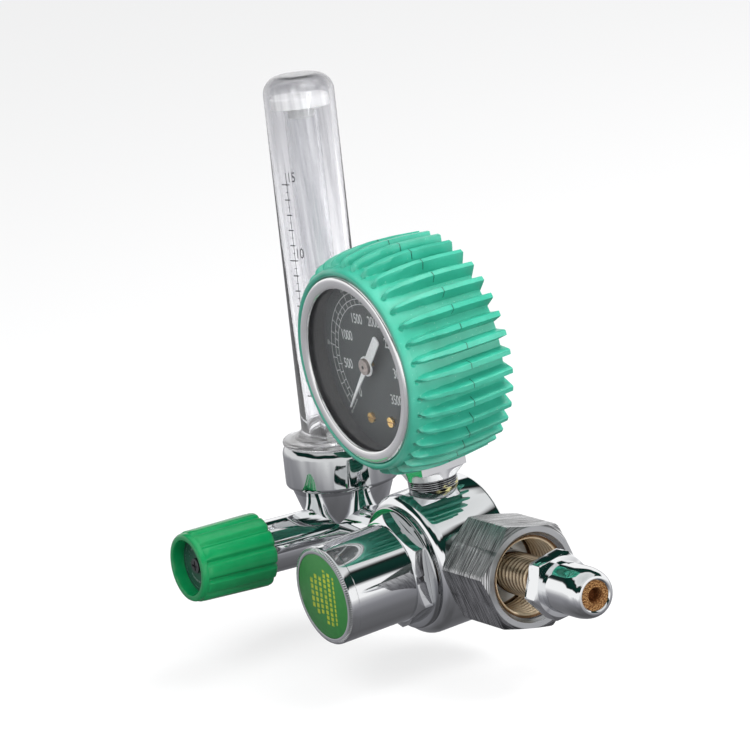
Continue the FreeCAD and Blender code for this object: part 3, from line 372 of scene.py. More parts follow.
# Bonnet end cap: a plated ring with a finely ridged lip, holding the round label in its face. The
# ridges came from the tool that rolled the lip over.
around, given, made = new_group("around_an_axis", ("Place",), ("Radius", "Turn", "Along"))
x, y, z = around.split(given["Place"])
squares = around.math("ADD", around.math("POWER", x, 2.0), around.math("POWER", y, 2.0))
around.put(around.math("SQRT", squares), made["Radius"])
around.put(around.math("ARCTAN2", y, x), made["Turn"])
around.put(z, made["Along"])


def measure_round(finish, at, tilt=(0, 0, 0)):
    """Radius, turn and distance along an axis through a point; tilt stands the axis on Z."""
    place = finish.measure_from(finish.place, Vector(at) * MM, tilt)
    return tuple(use_group(finish, around, {"Place": place}))


tilt_y = (math.radians(90), 0, 0)
knurl = Finish("knurled_chrome")
radius, turned, along = measure_round(knurl, crossing, tilt_y)
ridge_rate, ridge_high = 130.0, 0.10
teeth = knurl.math("SINE", knurl.times(turned, ridge_rate))
lip = knurl.times(knurl.span(radius, 13.3 * MM, 13.4 * MM), knurl.span(along, 41.1 * MM, 41.2 * MM))
knurl.relief(knurl.times(teeth, lip), ridge_high)
# Painted shade: the grooves between the lip's ridges are coloured a darker grey.
groove = knurl.times(lip, knurl.span(teeth, 0.2, -0.8))
knurl.set("Base Color", knurl.mix(groove, chrome_white, pit_grey_and_groove_shade))
knurl.set("Metallic", 1.0)
knurl.set("Roughness", 0.09)
cap_outline = [(0, 41.2), (12.46, 41.2), (12.5, 41.7), (12.7, 41.75), (13.45, 41.72), (14.0, 41.5),
               (14.25, 41.1), (14.3, 40.6), (14.3, 38.58), (0, 38.58)]
cap_shell = turn(cap_outline, to_front, crossing, 180)
assemble("end_cap_knurled", [cap_shell], knurl, "regulator", ["bonnet_end_cap"])

# Label: a printed green disc set flush in the end cap. Its print is six plain yellow rows of
# short bars.
label = Finish("label_print")
label_plane = label.measure_from(label.place, crossing * MM, (0, math.radians(8), 0))
across, _, upright = label.split(label_plane)
mask = None
rows = ((-5.4, -0.5, 4.6, 0.62), (-3.2, -0.3, 6.4, 0.62), (-0.9, 0.0, 5.9, 0.62),
        (1.5, 0.2, 8.3, 0.62), (3.8, 0.0, 8.1, 0.62), (6.0, 0.2, 7.3, 0.38))
for row, (offset, centre_z, half_long, half_wide) in enumerate(rows):
    apart = label.math("SUBTRACT", across, offset * MM)
    near = label.math("LESS_THAN", label.math("ABSOLUTE", apart), half_wide * MM)
    up = label.math("SUBTRACT", upright, centre_z * MM)
    inside = label.math("LESS_THAN", label.math("ABSOLUTE", up), half_long * MM)
    steps = label.math("ADD", label.math("DIVIDE", up, (1.9 - 0.1 * row) * MM), 20.3)
    dashes = label.math("LESS_THAN", label.math("FRACT", steps), 0.72)
    bar = label.times(label.times(near, inside), dashes)
    mask = bar if mask is None else label.math("MAXIMUM", mask, bar)
grain = label.grain(900)
worn = label.times(mask, label.span(grain, 0.30, 0.46, 0.35, 0.95))
green = label.mix(grain, (0.018, 0.165, 0.03), (0.035, 0.205, 0.045))
label.set("Base Color", label.mix(worn, green, (0.42, 0.46, 0.015)))
label.set("Roughness", 0.42)
label_outline = [(0, 41.21), (12.4, 41.21), (12.4, 41.58), (12.3, 41.64), (0, 41.64)]
label_shell = turn(label_outline, to_front, crossing)
assemble("label_printed", [label_shell], label, "regulator", ["label_disc"])

# Inlet nipple: plated brass with a pipe thread at its tail, a plain neck, a spanner hexagon and a
# round nose that seats in the cylinder valve.
nipple_chrome = plated("nipple_chrome", rough=0.03, holes=0.5, scratches=0.35)
nose_round = [math.radians(t) for t in range(0, 91, 10)]
nose_outline = ([(0, 53.0), (7.2, 53.0)] +
                [(5.0 + 2.2 * math.cos(t), 67.6 + 6.6 * math.sin(t)) for t in nose_round] +
                [(4.7, 74.2), (4.28, 73.9), (4.28, 66.0), (0, 66.0)])
nose_shell = turn(nose_outline, to_inlet, crossing, 160)
neck_outline = [(0, 12.7), (6.5, 12.7), (6.5, 21.8), (6.0, 22.2), (6.0, 53.6), (0, 53.6)]
neck_shell = turn(neck_outline, to_inlet, crossing)
hex_outline = [(0, 53.45), (9.9, 53.45), (9.9, 58.79), (8.5, 58.8), (0, 58.8)]
hex_shell = turn(hex_outline, to_inlet, crossing)
square_up(hex_shell, to_inlet, crossing, 17.0, 98.7, [(58.79, -1)])
nipple_shells = [break_edges(nose_shell, 0.05, 40), neck_shell, break_edges(hex_shell, 0.12, 20)]
assemble("nipple_turned", nipple_shells, nipple_chrome, "regulator", ["inlet_nipple"], 22)

# Filter: sintered bronze beads in the mouth of the nipple, rough and coppery, with painted highlights on
# the beads, painted shade between them and painted shade down the hollow in its middle.
bronze = Finish("bronze_beads")
beads = bronze.add("TexVoronoi", {"Vector": bronze.place, "Scale": 2600}, "Distance")
# Painted highlight and shade: the beads' middles are light copper, the gaps between them dark.
lit_beads_and_gap_shade = bronze.mix(bronze.span(beads, 0.15, 0.7), (0.75, 0.42, 0.17), (0.20, 0.08, 0.025))
tilt_x = (0, math.radians(90), 0)
radius, _, _ = measure_round(bronze, crossing, tilt_x)
# Painted shade: darker towards the bottom of the hollow in the middle.
hollow_shade = bronze.span(radius, 1.6 * MM, 2.6 * MM, 1.0, 0.0)
bronze.set("Base Color", bronze.mix(hollow_shade, lit_beads_and_gap_shade, (0.14, 0.045, 0.012)))
bronze.set("Metallic", 0.75)
bronze.set("Roughness", 0.42)
bronze.relief(beads, -0.25)
filter_outline = [(0, 71.4), (1.3, 71.6), (1.9, 73.2), (2.3, 73.85), (4.2, 73.85), (4.2, 66.1), (0, 66.1)]
assemble("filter_sintered", [turn(filter_outline, to_inlet, crossing)], bronze, "regulator",
         ["sintered_filter"])

# Inlet nut: hexagon bar brushed and nickelled, with its corners turned off, a polished mouth and a
# fine internal thread, brassy where the cutter left it and with painted shade in the thread's roots.
# It hangs free round the nipple's neck.
nickel = Finish("brushed_nickel")
strokes = nickel.stretch(nickel.place, (5200, 120, 120), (0, math.radians(6), math.radians(9)))
lines = nickel.noise(strokes, 1.0)
shade = nickel.mix(nickel.span(lines, 0.42, 0.58), (0.13, 0.13, 0.135), (0.78, 0.78, 0.79))
radius, _, along = measure_round(nickel, crossing, tilt_x)
bore = nickel.math("LESS_THAN", radius, 11.6 * MM)
front = nickel.math("GREATER_THAN", along, 42.9 * MM)
inner = nickel.times(bore, nickel.math("LESS_THAN", along, 42.6 * MM))
faced = nickel.times(front, nickel.span(radius, 14.6 * MM, 14.2 * MM))
shade = nickel.mix(faced, shade, (0.62, 0.63, 0.64))
# The thread's crests are cut brass, and its roots are painted dark brown as shade.
cut_brass_and_root_shade = nickel.mix(nickel.span(radius, 10.75 * MM, 11.15 * MM), (0.95, 0.76, 0.52), (0.17, 0.09, 0.04))
nickel.set("Base Color", nickel.mix(inner, shade, cut_brass_and_root_shade))
nickel.set("Metallic", nickel.math("SUBTRACT", 1.0, nickel.times(inner, 0.45)))
rough = nickel.span(lines, 0.35, 0.65, 0.40, 0.26)
nickel.set("Roughness", nickel.math("SUBTRACT", rough, nickel.times(bore, 0.14)))
nickel.relief(nickel.times(lines, nickel.math("SUBTRACT", 1.0, bore)), 0.04)
nut_thread = []
for k in range(8):
    foot = 41.8 - 1.7 * k
    nut_thread += [(10.55, foot), (10.55, foot - 0.25), (11.35, foot - 0.75), (11.35, foot - 1.05)]
nut_outline = ([(6.9, 22.2), (14.2875, 22.2), (16.5, 22.21), (16.5, 43.99), (14.2875, 44.0)] +
               [(12.75, 44.0), (11.7, 42.6)] + nut_thread +
               [(10.6, 28.2), (11.47, 28.0), (11.47, 25.8), (6.9, 25.8)])
nut_shell = turn(nut_outline, to_inlet, crossing, 150)
square_up(nut_shell, to_inlet, crossing, 28.575, 76.1, [(22.21, 1), (43.99, -1)])
assemble("nut_brushed", [nut_shell], nickel, "nut", ["inlet_nut"], 20)

# Gauge stem: a plated brass square for the spanner, screwed into the drum with thread sealant showing
# in its last turns. Its thread is a darker grey, with painted shade nearly black in its roots.
stem = Finish("stem_chrome")
marks = use_group(stem, plating, {"Place": stem.place, "Pin Holes": 0.6, "Scratches": 0.4})
blots = stem.noise(stem.stretch(stem.place, (330, 330, 1300)), 1.0)
x, y, z = stem.split(stem.place)
low, right = stem.span(z, 21.8 * MM, 21.3 * MM), stem.span(y, -3.5 * MM, -1.0 * MM)
paste = stem.times(stem.times(low, right), stem.span(blots, 0.50, 0.58))
radius, _, along = measure_round(stem, crossing)
# Painted shade: the thread's roots are coloured nearly black.
thread_root_shade = stem.span(radius, 7.02 * MM, 6.84 * MM)
turns = stem.span(along, 23.25 * MM, 23.15 * MM)
east = stem.math("ABSOLUTE", stem.math("SUBTRACT", x, crossing.x * MM))
farthest = stem.math("MAXIMUM", east, stem.math("ABSOLUTE", y))
cone = stem.times(stem.span(farthest, 7.47 * MM, 7.42 * MM), stem.math("SUBTRACT", 1.0, turns))
shade = stem.mix(turns, (0.96, 0.96, 0.97), (0.55, 0.56, 0.57))
shade = stem.mix(stem.times(thread_root_shade, turns), shade, (0.03, 0.03, 0.03))
stem.set("Base Color", stem.mix(paste, shade, (0.62, 0.57, 0.26)))
bare = stem.math("SUBTRACT", 1.0, stem.times(cone, 0.75))
stem.set("Metallic", stem.math("SUBTRACT", bare, paste))
satin = stem.math("ADD", stem.span(cone, 0.0, 1.0, 0.06, 0.34), stem.times(turns, 0.10))
stem.set("Roughness", stem.math("MAXIMUM", satin, stem.times(paste, 0.6)))
stem.relief(marks["Relief"], -0.004)
square_half, up_z = 7.5 * MM, (0, 0, 1)
square_outline = [(0, 23.2), (7.5, 23.2), (9.9, 25.6), (10.6, 25.7), (10.6, 36.2), (0, 36.2)]
square_shell = turn(square_outline, up_z, crossing, 160)
for vert in square_shell.verts:
    east, north = vert.co.x - crossing.x * MM, vert.co.y
    if max(abs(east), abs(north)) > square_half:
        vert.co.x = min(max(east, -square_half), square_half) + crossing.x * MM
        vert.co.y = min(max(north, -square_half), square_half)
stem_thread = []
for k in range(5):
    foot = 20.2 + 0.6 * k
    stem_thread += [(6.75, foot), (7.15, foot + 0.22), (7.15, foot + 0.36), (6.75, foot + 0.56)]
stem_shell = turn([(0, 19.0), (6.7, 19.0)] + stem_thread + [(0, 23.3)], up_z, crossing)
head_shell = bmesh.new()
head_place = Matrix.Translation(Vector((crossing.x, 0, 38.0)) * MM)
head_size = Matrix.Diagonal((14.6 * MM, 9.0 * MM, 7.0 * MM, 1))
bmesh.ops.create_cube(head_shell, size=1.0, matrix=head_place @ head_size)
assemble("stem_square", [square_shell, stem_shell, head_shell], stem, "regulator",
         ["gauge_socket"], 30)

# Rubber boot: a moulded green sleeve pulled over the gauge's case. Thirty-six fins stand up from
# it; each starts in a point behind the lip, and the mould's halves left a fine line across it.
gauge_at = Vector((-63.2, 0, 59.6))
boot = Finish("boot_rubber")
radius, _, along = measure_round(boot, gauge_at, tilt_y)
seam_y, seam_half = 0.8 * MM, 0.15 * MM
seam = boot.math("LESS_THAN", boot.math("ABSOLUTE", boot.math("SUBTRACT", along, seam_y)), seam_half)
line = boot.times(seam, boot.span(radius, 30.4 * MM, 30.8 * MM))
mottle = boot.grain(160, 5.0)
green = boot.mix(boot.span(mottle, 0.35, 0.7), (0.020, 0.285, 0.190), (0.034, 0.345, 0.240))
dust = boot.span(boot.grain(1500), 0.70, 0.76, 0.0, 0.5)
green = boot.mix(dust, green, (0.35, 0.62, 0.50))
boot.set("Base Color", boot.mix(line, green, (0.003, 0.07, 0.045)))
boot.set("Roughness", 0.34)
boot.set("Specular IOR Level", 1.0)
boot.set("IOR", 1.58)
boot.relief(boot.math("SUBTRACT", boot.times(mottle, 0.35), line), 0.10)


def follow(stations, at):
    """Height of a smooth line through (place, height) stations."""
    for (p0, h0), (p1, h1) in zip(stations, stations[1:]):
        if at <= p1:
            return h0 + (h1 - h0) * (at - p0) / (p1 - p0)
    return stations[-1][1]


boot_front, boot_rear, fin_pitch = -17.6, 13.0, 10
valley_line = [(boot_front, 29.15), (-16.6, 29.35), (-3.0, 29.6), (8.0, 29.0), (boot_rear, 28.5)]
crest_line = [(boot_front, 31.0), (-15.5, 31.5), (-12.0, 32.2), (-8.0, 32.75), (-3.0, 33.0),
              (5.0, 32.6), (boot_rear, 31.8)]
stations = [boot_front + 0.2 * k for k in range(18)] + [-14.0 + 0.9 * k for k in range(31)]
barrel = [(follow(valley_line, y), -y) for y in stations if y <= boot_rear]
boot_outline = ([(27.1, 18.6), (27.3, 18.95), (27.7, 19.15), (28.2, 19.15), (28.7, 18.85), (29.0, 18.2)] +
                barrel + [(28.5, -13.0), (26.9, -13.01), (5.0, -13.0), (5.0, -10.2)] +
                [(26.2, -10.2), (26.2, 12.9), (27.2, 12.9)])
boot_shell = turn(boot_outline, to_front, gauge_at, 900)
centre = gauge_at * MM
for vert in boot_shell.verts:
    out = vert.co - centre
    reach = math.hypot(out.x, out.z) / MM
    y = out.y / MM
    if reach > 28.45 and -17.7 < y < 13.005:
        angle = math.degrees(math.atan2(out.z, out.x)) - 0.5
        off = (angle + fin_pitch / 2) % fin_pitch - fin_pitch / 2
        nose = math.sqrt(max(0.0, 1 - max(0.0, (-13.9 - y) / 2.9) ** 2))
        swell = 1.0 - 0.35 * max(0.0, (-3.0 - y) / 14.0)
        half_top, half_base = 1.4 * nose * swell, 2.9 * nose * swell + 0.01
        slope = min(1.0, max(0.0, (half_base - abs(off)) / (half_base - half_top)))
        grow = (follow(crest_line, y) - follow(valley_line, y)) * slope * nose ** 0.6
        pit = math.hypot((y + 16.6) / 0.8, (off + 1.2) / 1.5)
        if pit < 1:
            grow -= 0.7 * (1 - pit * pit)
        if y > 12.2:
            grow -= 1.4 * (y - 12.2) / 0.8 * (1 - slope)
        new_reach = (reach + grow) / reach
        vert.co.x = centre.x + out.x * new_reach
        vert.co.z = centre.z + out.z * new_reach
bmesh.ops.recalc_face_normals(boot_shell, faces=boot_shell.faces)
assemble("boot_ribbed", [boot_shell], boot, "regulator", ["gauge_boot"], 44)

# Bezel: a brass ring, spun and chromium plated. Its front edge is rolled over the window, and its
# skirt grips the rim of the case.
bezel_chrome = plated("bezel_chrome", colour=(0.90, 0.90, 0.90), rough=0.04, holes=0.4, scratches=0.5)
bezel_chrome.set("Metallic", 0.78)
bezel_outline = [(23.6, 18.65), (23.62, 18.95), (23.75, 19.2), (24.1, 19.34), (24.8, 19.45), (25.6, 19.53),
                 (26.2, 19.5), (26.6, 19.36), (26.85, 19.1), (26.97, 18.75), (27.0, 18.3), (27.0, 13.1),
                 (26.1, 13.1), (26.1, 18.65)]
assemble("bezel_rolled", [turn(bezel_outline, to_front, gauge_at, 200)], bezel_chrome, "regulator",
         ["gauge_bezel"], 50)

# Window: a flat disc of clear plastic, held behind the bezel's rolled edge. Its faces have a faint,
# slightly uneven gloss.
window = Finish("window_plastic")
window.set("Base Color", (0.97, 0.98, 0.98))
window.set("Transmission Weight", 1.0)
window.set("IOR", 1.22)
window.set("Roughness", window.span(window.grain(60), 0.3, 0.7, 0.0, 0.012))


def finish_nodes(finish, *names):
    """Gives CAD nodes a finish."""
    for name in names:
        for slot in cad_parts[name].material_slots:
            slot.material = finish.material


finish_nodes(window, "gauge_lens")

# Dial: a stamped plate painted dark grey, with white scales and numbers from 0 to 3500 round it
# and a second scale outside, printed flat on the paint.
dial = Finish("dial_paint")
speck = dial.span(dial.grain(1400), 0.4, 0.75)
dial.set("Base Color", dial.mix(speck, (0.020, 0.027, 0.028), (0.022, 0.029, 0.030)))
dial.set("Roughness", 0.55)
finish_nodes(dial, "gauge_dial")
white = Finish("dial_white_print")
white.set("Base Color", white.mix(white.grain(1800), (0.34, 0.35, 0.35), (0.62, 0.63, 0.63)))
white.set("Roughness", 0.6)
print_y, zero_at, scale_sweep = -12.03 * MM, 225, 270


def flat_arc(print_bm, start, end, inner, outer, count=1):
    """A flat printed stroke between two angles and two radii, facing the front."""
    corners = []
    for k in range(count + 1):
        t = math.radians(start + (end - start) * k / count)
        corners.append([print_bm.verts.new((r * math.cos(t) * MM, 0, r * math.sin(t) * MM))
                        for r in (inner, outer)])
    for a, b in zip(corners, corners[1:]):
        print_bm.faces.new((a[0], a[1], b[1], b[0]))


def print_number(print_bm, number, size, place, **settings):
    """Adds a number's flat outline to a print, put in its place by a matrix."""
    curve = bpy.data.curves.new("number", "FONT")
    curve.body, curve.size, curve.align_y = number, size * MM, "CENTER"
    for setting, value in settings.items():
        setattr(curve, setting, value)
    carrier = bpy.data.objects.new("number", curve)
    scene.collection.objects.link(carrier)
    bpy.context.view_layer.update()
    letters = bpy.data.meshes.new_from_object(carrier)
    bpy.data.objects.remove(carrier)
    letters.transform(place)
    print_bm.from_mesh(letters)
    bpy.data.meshes.remove(letters)


print_bm = bmesh.new()
for ring_r in (20.9, 18.9, 17.3):
    flat_arc(print_bm, zero_at, zero_at - scale_sweep, ring_r - 0.09, ring_r + 0.09, 90)
for k in range(36):
    angle = zero_at - scale_sweep * k / 35
    flat_arc(print_bm, angle - 0.35, angle + 0.35, 17.3 if k % 5 else 16.6, 18.9)
for k in range(26):
    angle = zero_at - 274.3 * k / 25
    flat_arc(print_bm, angle - 0.3, angle + 0.3, 18.9, 20.9 if k % 5 else 21.7)
bmesh.ops.translate(print_bm, verts=print_bm.verts, vec=(centre.x, print_y, centre.z))
inner_numbers = [(str(500 * k), zero_at - 38.571 * k, 13.4, 4.1, True) for k in range(8)]
outer_numbers = [(str(50 * k), zero_at - 54.86 * k, 22.5, 1.5, False) for k in range(6)]
for number, angle, reach, size, upright in inner_numbers + outer_numbers:
    t = math.radians(angle)
    spin, narrow = (0, 0.76) if upright else (t - math.pi / 2, 1.0)
    at = (centre.x + reach * math.cos(t) * MM, print_y, centre.z + reach * math.sin(t) * MM)
    place = (Matrix.Translation(at) @ Matrix.Rotation(-spin, 4, "Y") @ Matrix.Rotation(math.pi / 2, 4, "X")
             @ Matrix.Diagonal((narrow, 1.0, 1.0, 1.0)))
    print_number(print_bm, number, size, place, align_x="CENTER", space_character=0.95,
                 offset=0.04 * MM if upright else 0.0)
assemble("dial_scales", [print_bm], white, "regulator")

# Pointer: a thin white-painted strip on the movement's arbor, with a round hub. It stops a little
# above the dial and turns with the arbor.
chalky = Finish("pointer_paint")
chalky.set("Base Color", chalky.mix(chalky.grain(1200), (0.52, 0.53, 0.53), (0.74, 0.75, 0.75)))
chalky.set("Roughness", 0.5)
finish_nodes(chalky, "gauge_pointer")
rivet = Finish("rivet_copper")
worn = rivet.mix(rivet.grain(1500), (0.20, 0.165, 0.15), (0.42, 0.365, 0.335))
radius, _, _ = measure_round(rivet, gauge_at, tilt_y)
# Painted shade: the rivet's eye is coloured nearly black.
eye_shade = rivet.span(radius, 0.62 * MM, 0.5 * MM)
rivet.set("Base Color", rivet.mix(eye_shade, worn, (0.02, 0.018, 0.016)))
rivet.set("Metallic", 1.0)
rivet.set("Roughness", 0.36)
rivet_outline = [(0, 15.21), (2.31, 15.21), (2.31, 14.36), (2.38, 14.36), (2.38, 15.05), (2.2, 15.28),
                 (1.75, 15.34), (1.6, 15.23), (1.45, 15.23), (1.3, 15.38), (0.9, 15.45), (0.6, 15.4),
                 (0.5, 15.25), (0, 15.24)]
rivet_shell = turn(rivet_outline, to_front, gauge_at, 64)
assemble("pointer_rivet", [rivet_shell], rivet, "pointer", (), 40)

# Gauge movement: stamped brass plates on brass pillars, with a brass sector, arbor and tip, a
# bronze bourdon tube soldered to the socket, and a hairspring.
def metal(name, colour, worn, rough, scale=240):
    """Bare metal with a soft wear pattern."""
    finish = Finish(name)
    cloud = finish.grain(scale, 4.0)
    finish.set("Base Color", finish.mix(finish.span(cloud, 0.3, 0.7), colour, worn))
    finish.set("Roughness", finish.span(cloud, 0.3, 0.7, rough, rough + 0.15))
    finish.set("Metallic", 1.0)
    return finish


movement_brass = metal("movement_brass", (0.68, 0.47, 0.17), (0.55, 0.37, 0.12), 0.26)
finish_nodes(movement_brass, "movement_front_plate", "movement_rear_plate", "movement_pillars",
             "sector_gear", "pointer_arbor", "bourdon_tip", "tip_link")
finish_nodes(metal("tube_bronze", (0.58, 0.34, 0.16), (0.42, 0.23, 0.10), 0.33), "bourdon_tube")
finish_nodes(metal("hair_bronze", (0.62, 0.40, 0.20), (0.50, 0.31, 0.15), 0.22), "hairspring")
finish_nodes(metal("screw_brass", (0.78, 0.50, 0.16), (0.55, 0.33, 0.09), 0.22, 900), "dial_screws")

# Gauge case: a cup drawn from steel sheet and painted black. It stands behind the dial and round
# the movement, and the boot is pulled over it.
paint = Finish("case_paint")
paint.set("Base Color", paint.mix(paint.grain(700), (0.014, 0.014, 0.015), (0.035, 0.035, 0.036)))
paint.set("Roughness", 0.4)
finish_nodes(paint, "gauge_case")

# Piston, seat nozzle and needle spindle: turned from brass bar. The piston slides against the main
# spring, the nozzle is pressed in, and the spindle turns on its thread.
turned_brass = metal("turned_brass", (0.72, 0.50, 0.20), (0.60, 0.40, 0.15), 0.2)
finish_nodes(turned_brass, "piston", "seat_nozzle", "valve_spindle")

# Main spring: five open turns of spring steel wire between the piston's head and the drum's floor.
spring_steel = metal("spring_steel", (0.42, 0.43, 0.45), (0.30, 0.31, 0.33), 0.28)
coil_turns, turn_steps, wire_sides = 5, 40, 14
coil_r, wire_r = 8.2 * MM, 1.1 * MM
spring_low, spring_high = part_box("main_spring")
coil_long = spring_high.y - spring_low.y - 2 * wire_r
coil_shell = bmesh.new()
rings = []
for k in range(coil_turns * turn_steps + 1):
    t = math.tau * k / turn_steps
    rise = spring_low.y + wire_r + coil_long * k / (coil_turns * turn_steps)
    ring = []
    for i in range(wire_sides):
        u = math.tau * i / wire_sides
        out = coil_r + wire_r * math.cos(u)
        ring.append(coil_shell.verts.new((crossing.x * MM + out * math.cos(t), rise + wire_r * math.sin(u),
                                          out * math.sin(t))))
    rings.append(ring)
for first, second in zip(rings, rings[1:]):
    for i in range(wire_sides):
        j = (i + 1) % wire_sides
        coil_shell.faces.new((first[i], first[j], second[j], second[i]))
for end in (rings[0], rings[-1]):
    coil_shell.faces.new(end)
bmesh.ops.recalc_face_normals(coil_shell, faces=coil_shell.faces)
spring_coil = assemble("spring_coil", [coil_shell], spring_steel, "regulator", ["main_spring"], 50)
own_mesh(spring_coil)

# Seals and soft pieces of the reducer: black rubber rings, a white plastic seat and a plastic
# slip ring behind the nut.
seals = Finish("black_rubber")
seals.set("Base Color", seals.mix(seals.grain(500), (0.010, 0.010, 0.010), (0.030, 0.030, 0.030)))
seals.set("Roughness", 0.6)
finish_nodes(seals, "piston_ring", "stem_ring", "cover_ring", "tube_ring", "spindle_ring")


def plastic(name, dark, pale, rough):
    """Moulded plastic with a faint cloudiness."""
    finish = Finish(name)
    finish.set("Base Color", finish.mix(finish.grain(300), dark, pale))
    finish.set("Roughness", rough)
    return finish


seat_plastic = plastic("seat_plastic", (0.66, 0.65, 0.60), (0.76, 0.75, 0.71), 0.45)
finish_nodes(seat_plastic, "seat_disc", "nut_slip_ring")

# Flow body: a plated brass forging. It has the cup for the flowmeter's tube on a conical neck, the
# needle valve's tube, the arm screwed into the drum, and the outlet's boss below.
flow_chrome = plated("flow_chrome", rough=0.045, holes=0.9, scratches=0.8)
_, _, z = flow_chrome.split(flow_chrome.place)
plate_shade = flow_chrome.shader.inputs["Base Color"].links[0].from_socket
# Painted shade: the cup above the neck is coloured a darker grey than the rest of the plating.
cup_painted_shade = flow_chrome.span(z, 12.6 * MM, 13.0 * MM)
flow_chrome.set("Base Color", flow_chrome.mix(cup_painted_shade, plate_shade, (0.60, 0.61, 0.62)))
flow_at = Vector((-116.3, 0, 0))
lean = Matrix.Rotation(math.radians(-4.45), 4, "X")
valve_drop, down_z = 0.8, (0, 0, -1)


def leaned(shell, drop=0.0):
    """Lowers a shell onto the valve's axis and tips it back about the arm's."""
    bmesh.ops.transform(shell, matrix=lean @ Matrix.Translation((0, 0, -drop * MM)), verts=shell.verts)
    return shell


cup_outline = ([(0, 0), (8.4, 0), (12.9, 6.5), (15.05, 12.8), (15.2, 13.2)] +
               arc((15.3, 14.6), 1.4, -88, 0) + arc((12.836, 23.0), 3.864, 0, 44.33, 8) +
               [(13.95, 25.7), (13.92, 25.67), (13.92, 16.65), (0, 16.65)])
cup_shell = leaned(turn(cup_outline, up_z, flow_at, 180))
valve_outline = [(0, -10), (7.5, -10), (7.86, -9.6), (7.86, 32.5), (7.5, 33),
                 (5.3, 33), (5.3, 28), (0, 28)]
valve_shell = leaned(turn(valve_outline, to_front, flow_at), valve_drop)
arm_outline = [(0, 0), (7.5, 0), (7.5, 32.1), (7.2, 32.4), (6.55, 32.4), (6.55, 34.2), (0, 34.2)]
arm_shell = turn(arm_outline, to_inlet, flow_at)
boss_shell = leaned(turn([(0, 0), (9.2, 0), (9.2, 11.1), (8.8, 11.5), (0, 11.5)], down_z, flow_at))
assemble("flow_forging", [cup_shell, valve_shell, arm_shell, boss_shell], flow_chrome, "regulator",
         ["flow_body"], 26)

# Outlet: a plated fitting screwed up into the body, with a spanner hexagon, a fine outside thread
# for the humidifier's nut and a small hose nose.
outlet_outline = [(3.0, 11.52), (10.3, 11.53), (10.3, 15.49), (8.6, 15.5), (3.0, 15.5)]
outlet_hex = turn(outlet_outline, down_z, flow_at)
square_up(outlet_hex, down_z, flow_at, 17.5, 0, [(15.49, -1)])
thread_outline = [(3.0, 15.3)]
for k in range(9):
    foot = 15.9 + 1.36 * k
    thread_outline += [(6.45, foot), (7.1, foot + 0.5), (7.1, foot + 0.75), (6.45, foot + 1.25)]
thread_outline += [(6.45, 28.5), (5.2, 28.5), (5.2, 31.1), (4.8, 31.5), (3.0, 31.5)]
outlet_shells = [leaned(break_edges(outlet_hex, 0.12, 20)), leaned(turn(thread_outline, down_z, flow_at))]
assemble("outlet_turned", outlet_shells, flow_chrome, "regulator", ["outlet_fitting"], 24)

# Gland nut: turned brass, screwed into the valve's tube behind the knob, where it hardly shows. It
# keeps the spindle and its sealing ring in.
gland_outline = [(2.9, 27.0), (5.15, 27.0), (5.15, 33.02), (6.3, 33.02), (6.3, 36.0), (5.9, 36.4),
                 (2.9, 36.4)]
assemble("gland_turned", [leaned(turn(gland_outline, to_front, flow_at), valve_drop)], turned_brass,
         "regulator", ["gland_nut"], 24)

# Flowmeter cover: one moulding of clear plastic, domed and closed at the top, with a flange and a
# skirt that screws into the cup. It has gone very slightly grey.
clear = Finish("clear_cover")
clear.set("Transmission Weight", 1.0)
clear.set("IOR", 1.47)
waves = clear.noise(clear.stretch(clear.place, (520, 520, 9)), 1.0)
_, _, z = clear.split(clear.place)
flange_rough = clear.span(z, 30.5 * MM, 29.5 * MM, 0.02, 0.16)
dome_rough = clear.span(z, 128.5 * MM, 131.5 * MM, 0.02, 0.20)
clear.set("Roughness", clear.math("MAXIMUM", flange_rough, dome_rough))
# Painted light: the lower part of the tube and the flange are given a faint glow.
clear.set("Emission Color", (1.0, 0.99, 1.0))
tube_glow = clear.span(z, 70 * MM, 30 * MM, 0.0, 0.010)
flange_glow = clear.span(z, 30.5 * MM, 29.0 * MM, 0.0, 0.016)
clear.set("Emission Strength", clear.math("ADD", tube_glow, flange_glow))
streaks = clear.mix(clear.span(waves, 0.38, 0.70), (0.86, 0.86, 0.87), (0.58, 0.58, 0.60))
flange = clear.span(z, 30.5 * MM, 29.5 * MM)
clear.set("Base Color", clear.mix(flange, streaks, (0.98, 0.98, 0.98)))
clear.relief(waves, 0.015)
cover_outline = ([(0, 132.9)] + arc((4.94, 129.2), 3.7, 90, 0, 8) +
                 [(8.64, 18.7), (13.85, 18.7), (13.85, 25.73)] +
                 arc((15.45, 26.58), 0.85, -90, 0) + arc((15.45, 26.65), 0.85, 0, 90) +
                 [(12.6, 27.55), (12.2, 28.0), (11.6, 28.1), (11.4, 28.8), (10.9, 29.0), (10.34, 30.2)] +
                 arc((4.94, 129.2), 5.4, 0, 90, 12) + [(0, 134.6)])
assemble("cover_moulded", [leaned(turn(cover_outline, up_z, flow_at, 180))], clear, "regulator",
         ["cover_tube"], 40)

# Metering tube: a drawn tube of clear plastic inside the cover. Its foot stands in a rubber ring in
# the flow body, and its bore opens out slowly upwards.
drawn = Finish("clear_tube")
drawn.set("Base Color", (0.955, 0.96, 0.965))
drawn.set("Transmission Weight", 1.0)
drawn.set("IOR", 1.47)
streaks = drawn.noise(drawn.stretch(drawn.place, (600, 600, 40)), 1.0)
drawn.set("Roughness", drawn.span(streaks, 0.3, 0.7, 0.02, 0.07))
tube_outline = [(3.3, 11.2), (4.8, 11.2), (5.0, 11.5), (5.0, 125.0), (4.8, 125.2), (4.0, 125.2)]
assemble("metering_drawn", [leaned(turn(tube_outline, up_z, flow_at, 96))], drawn, "regulator",
         ["metering_tube"], 30)

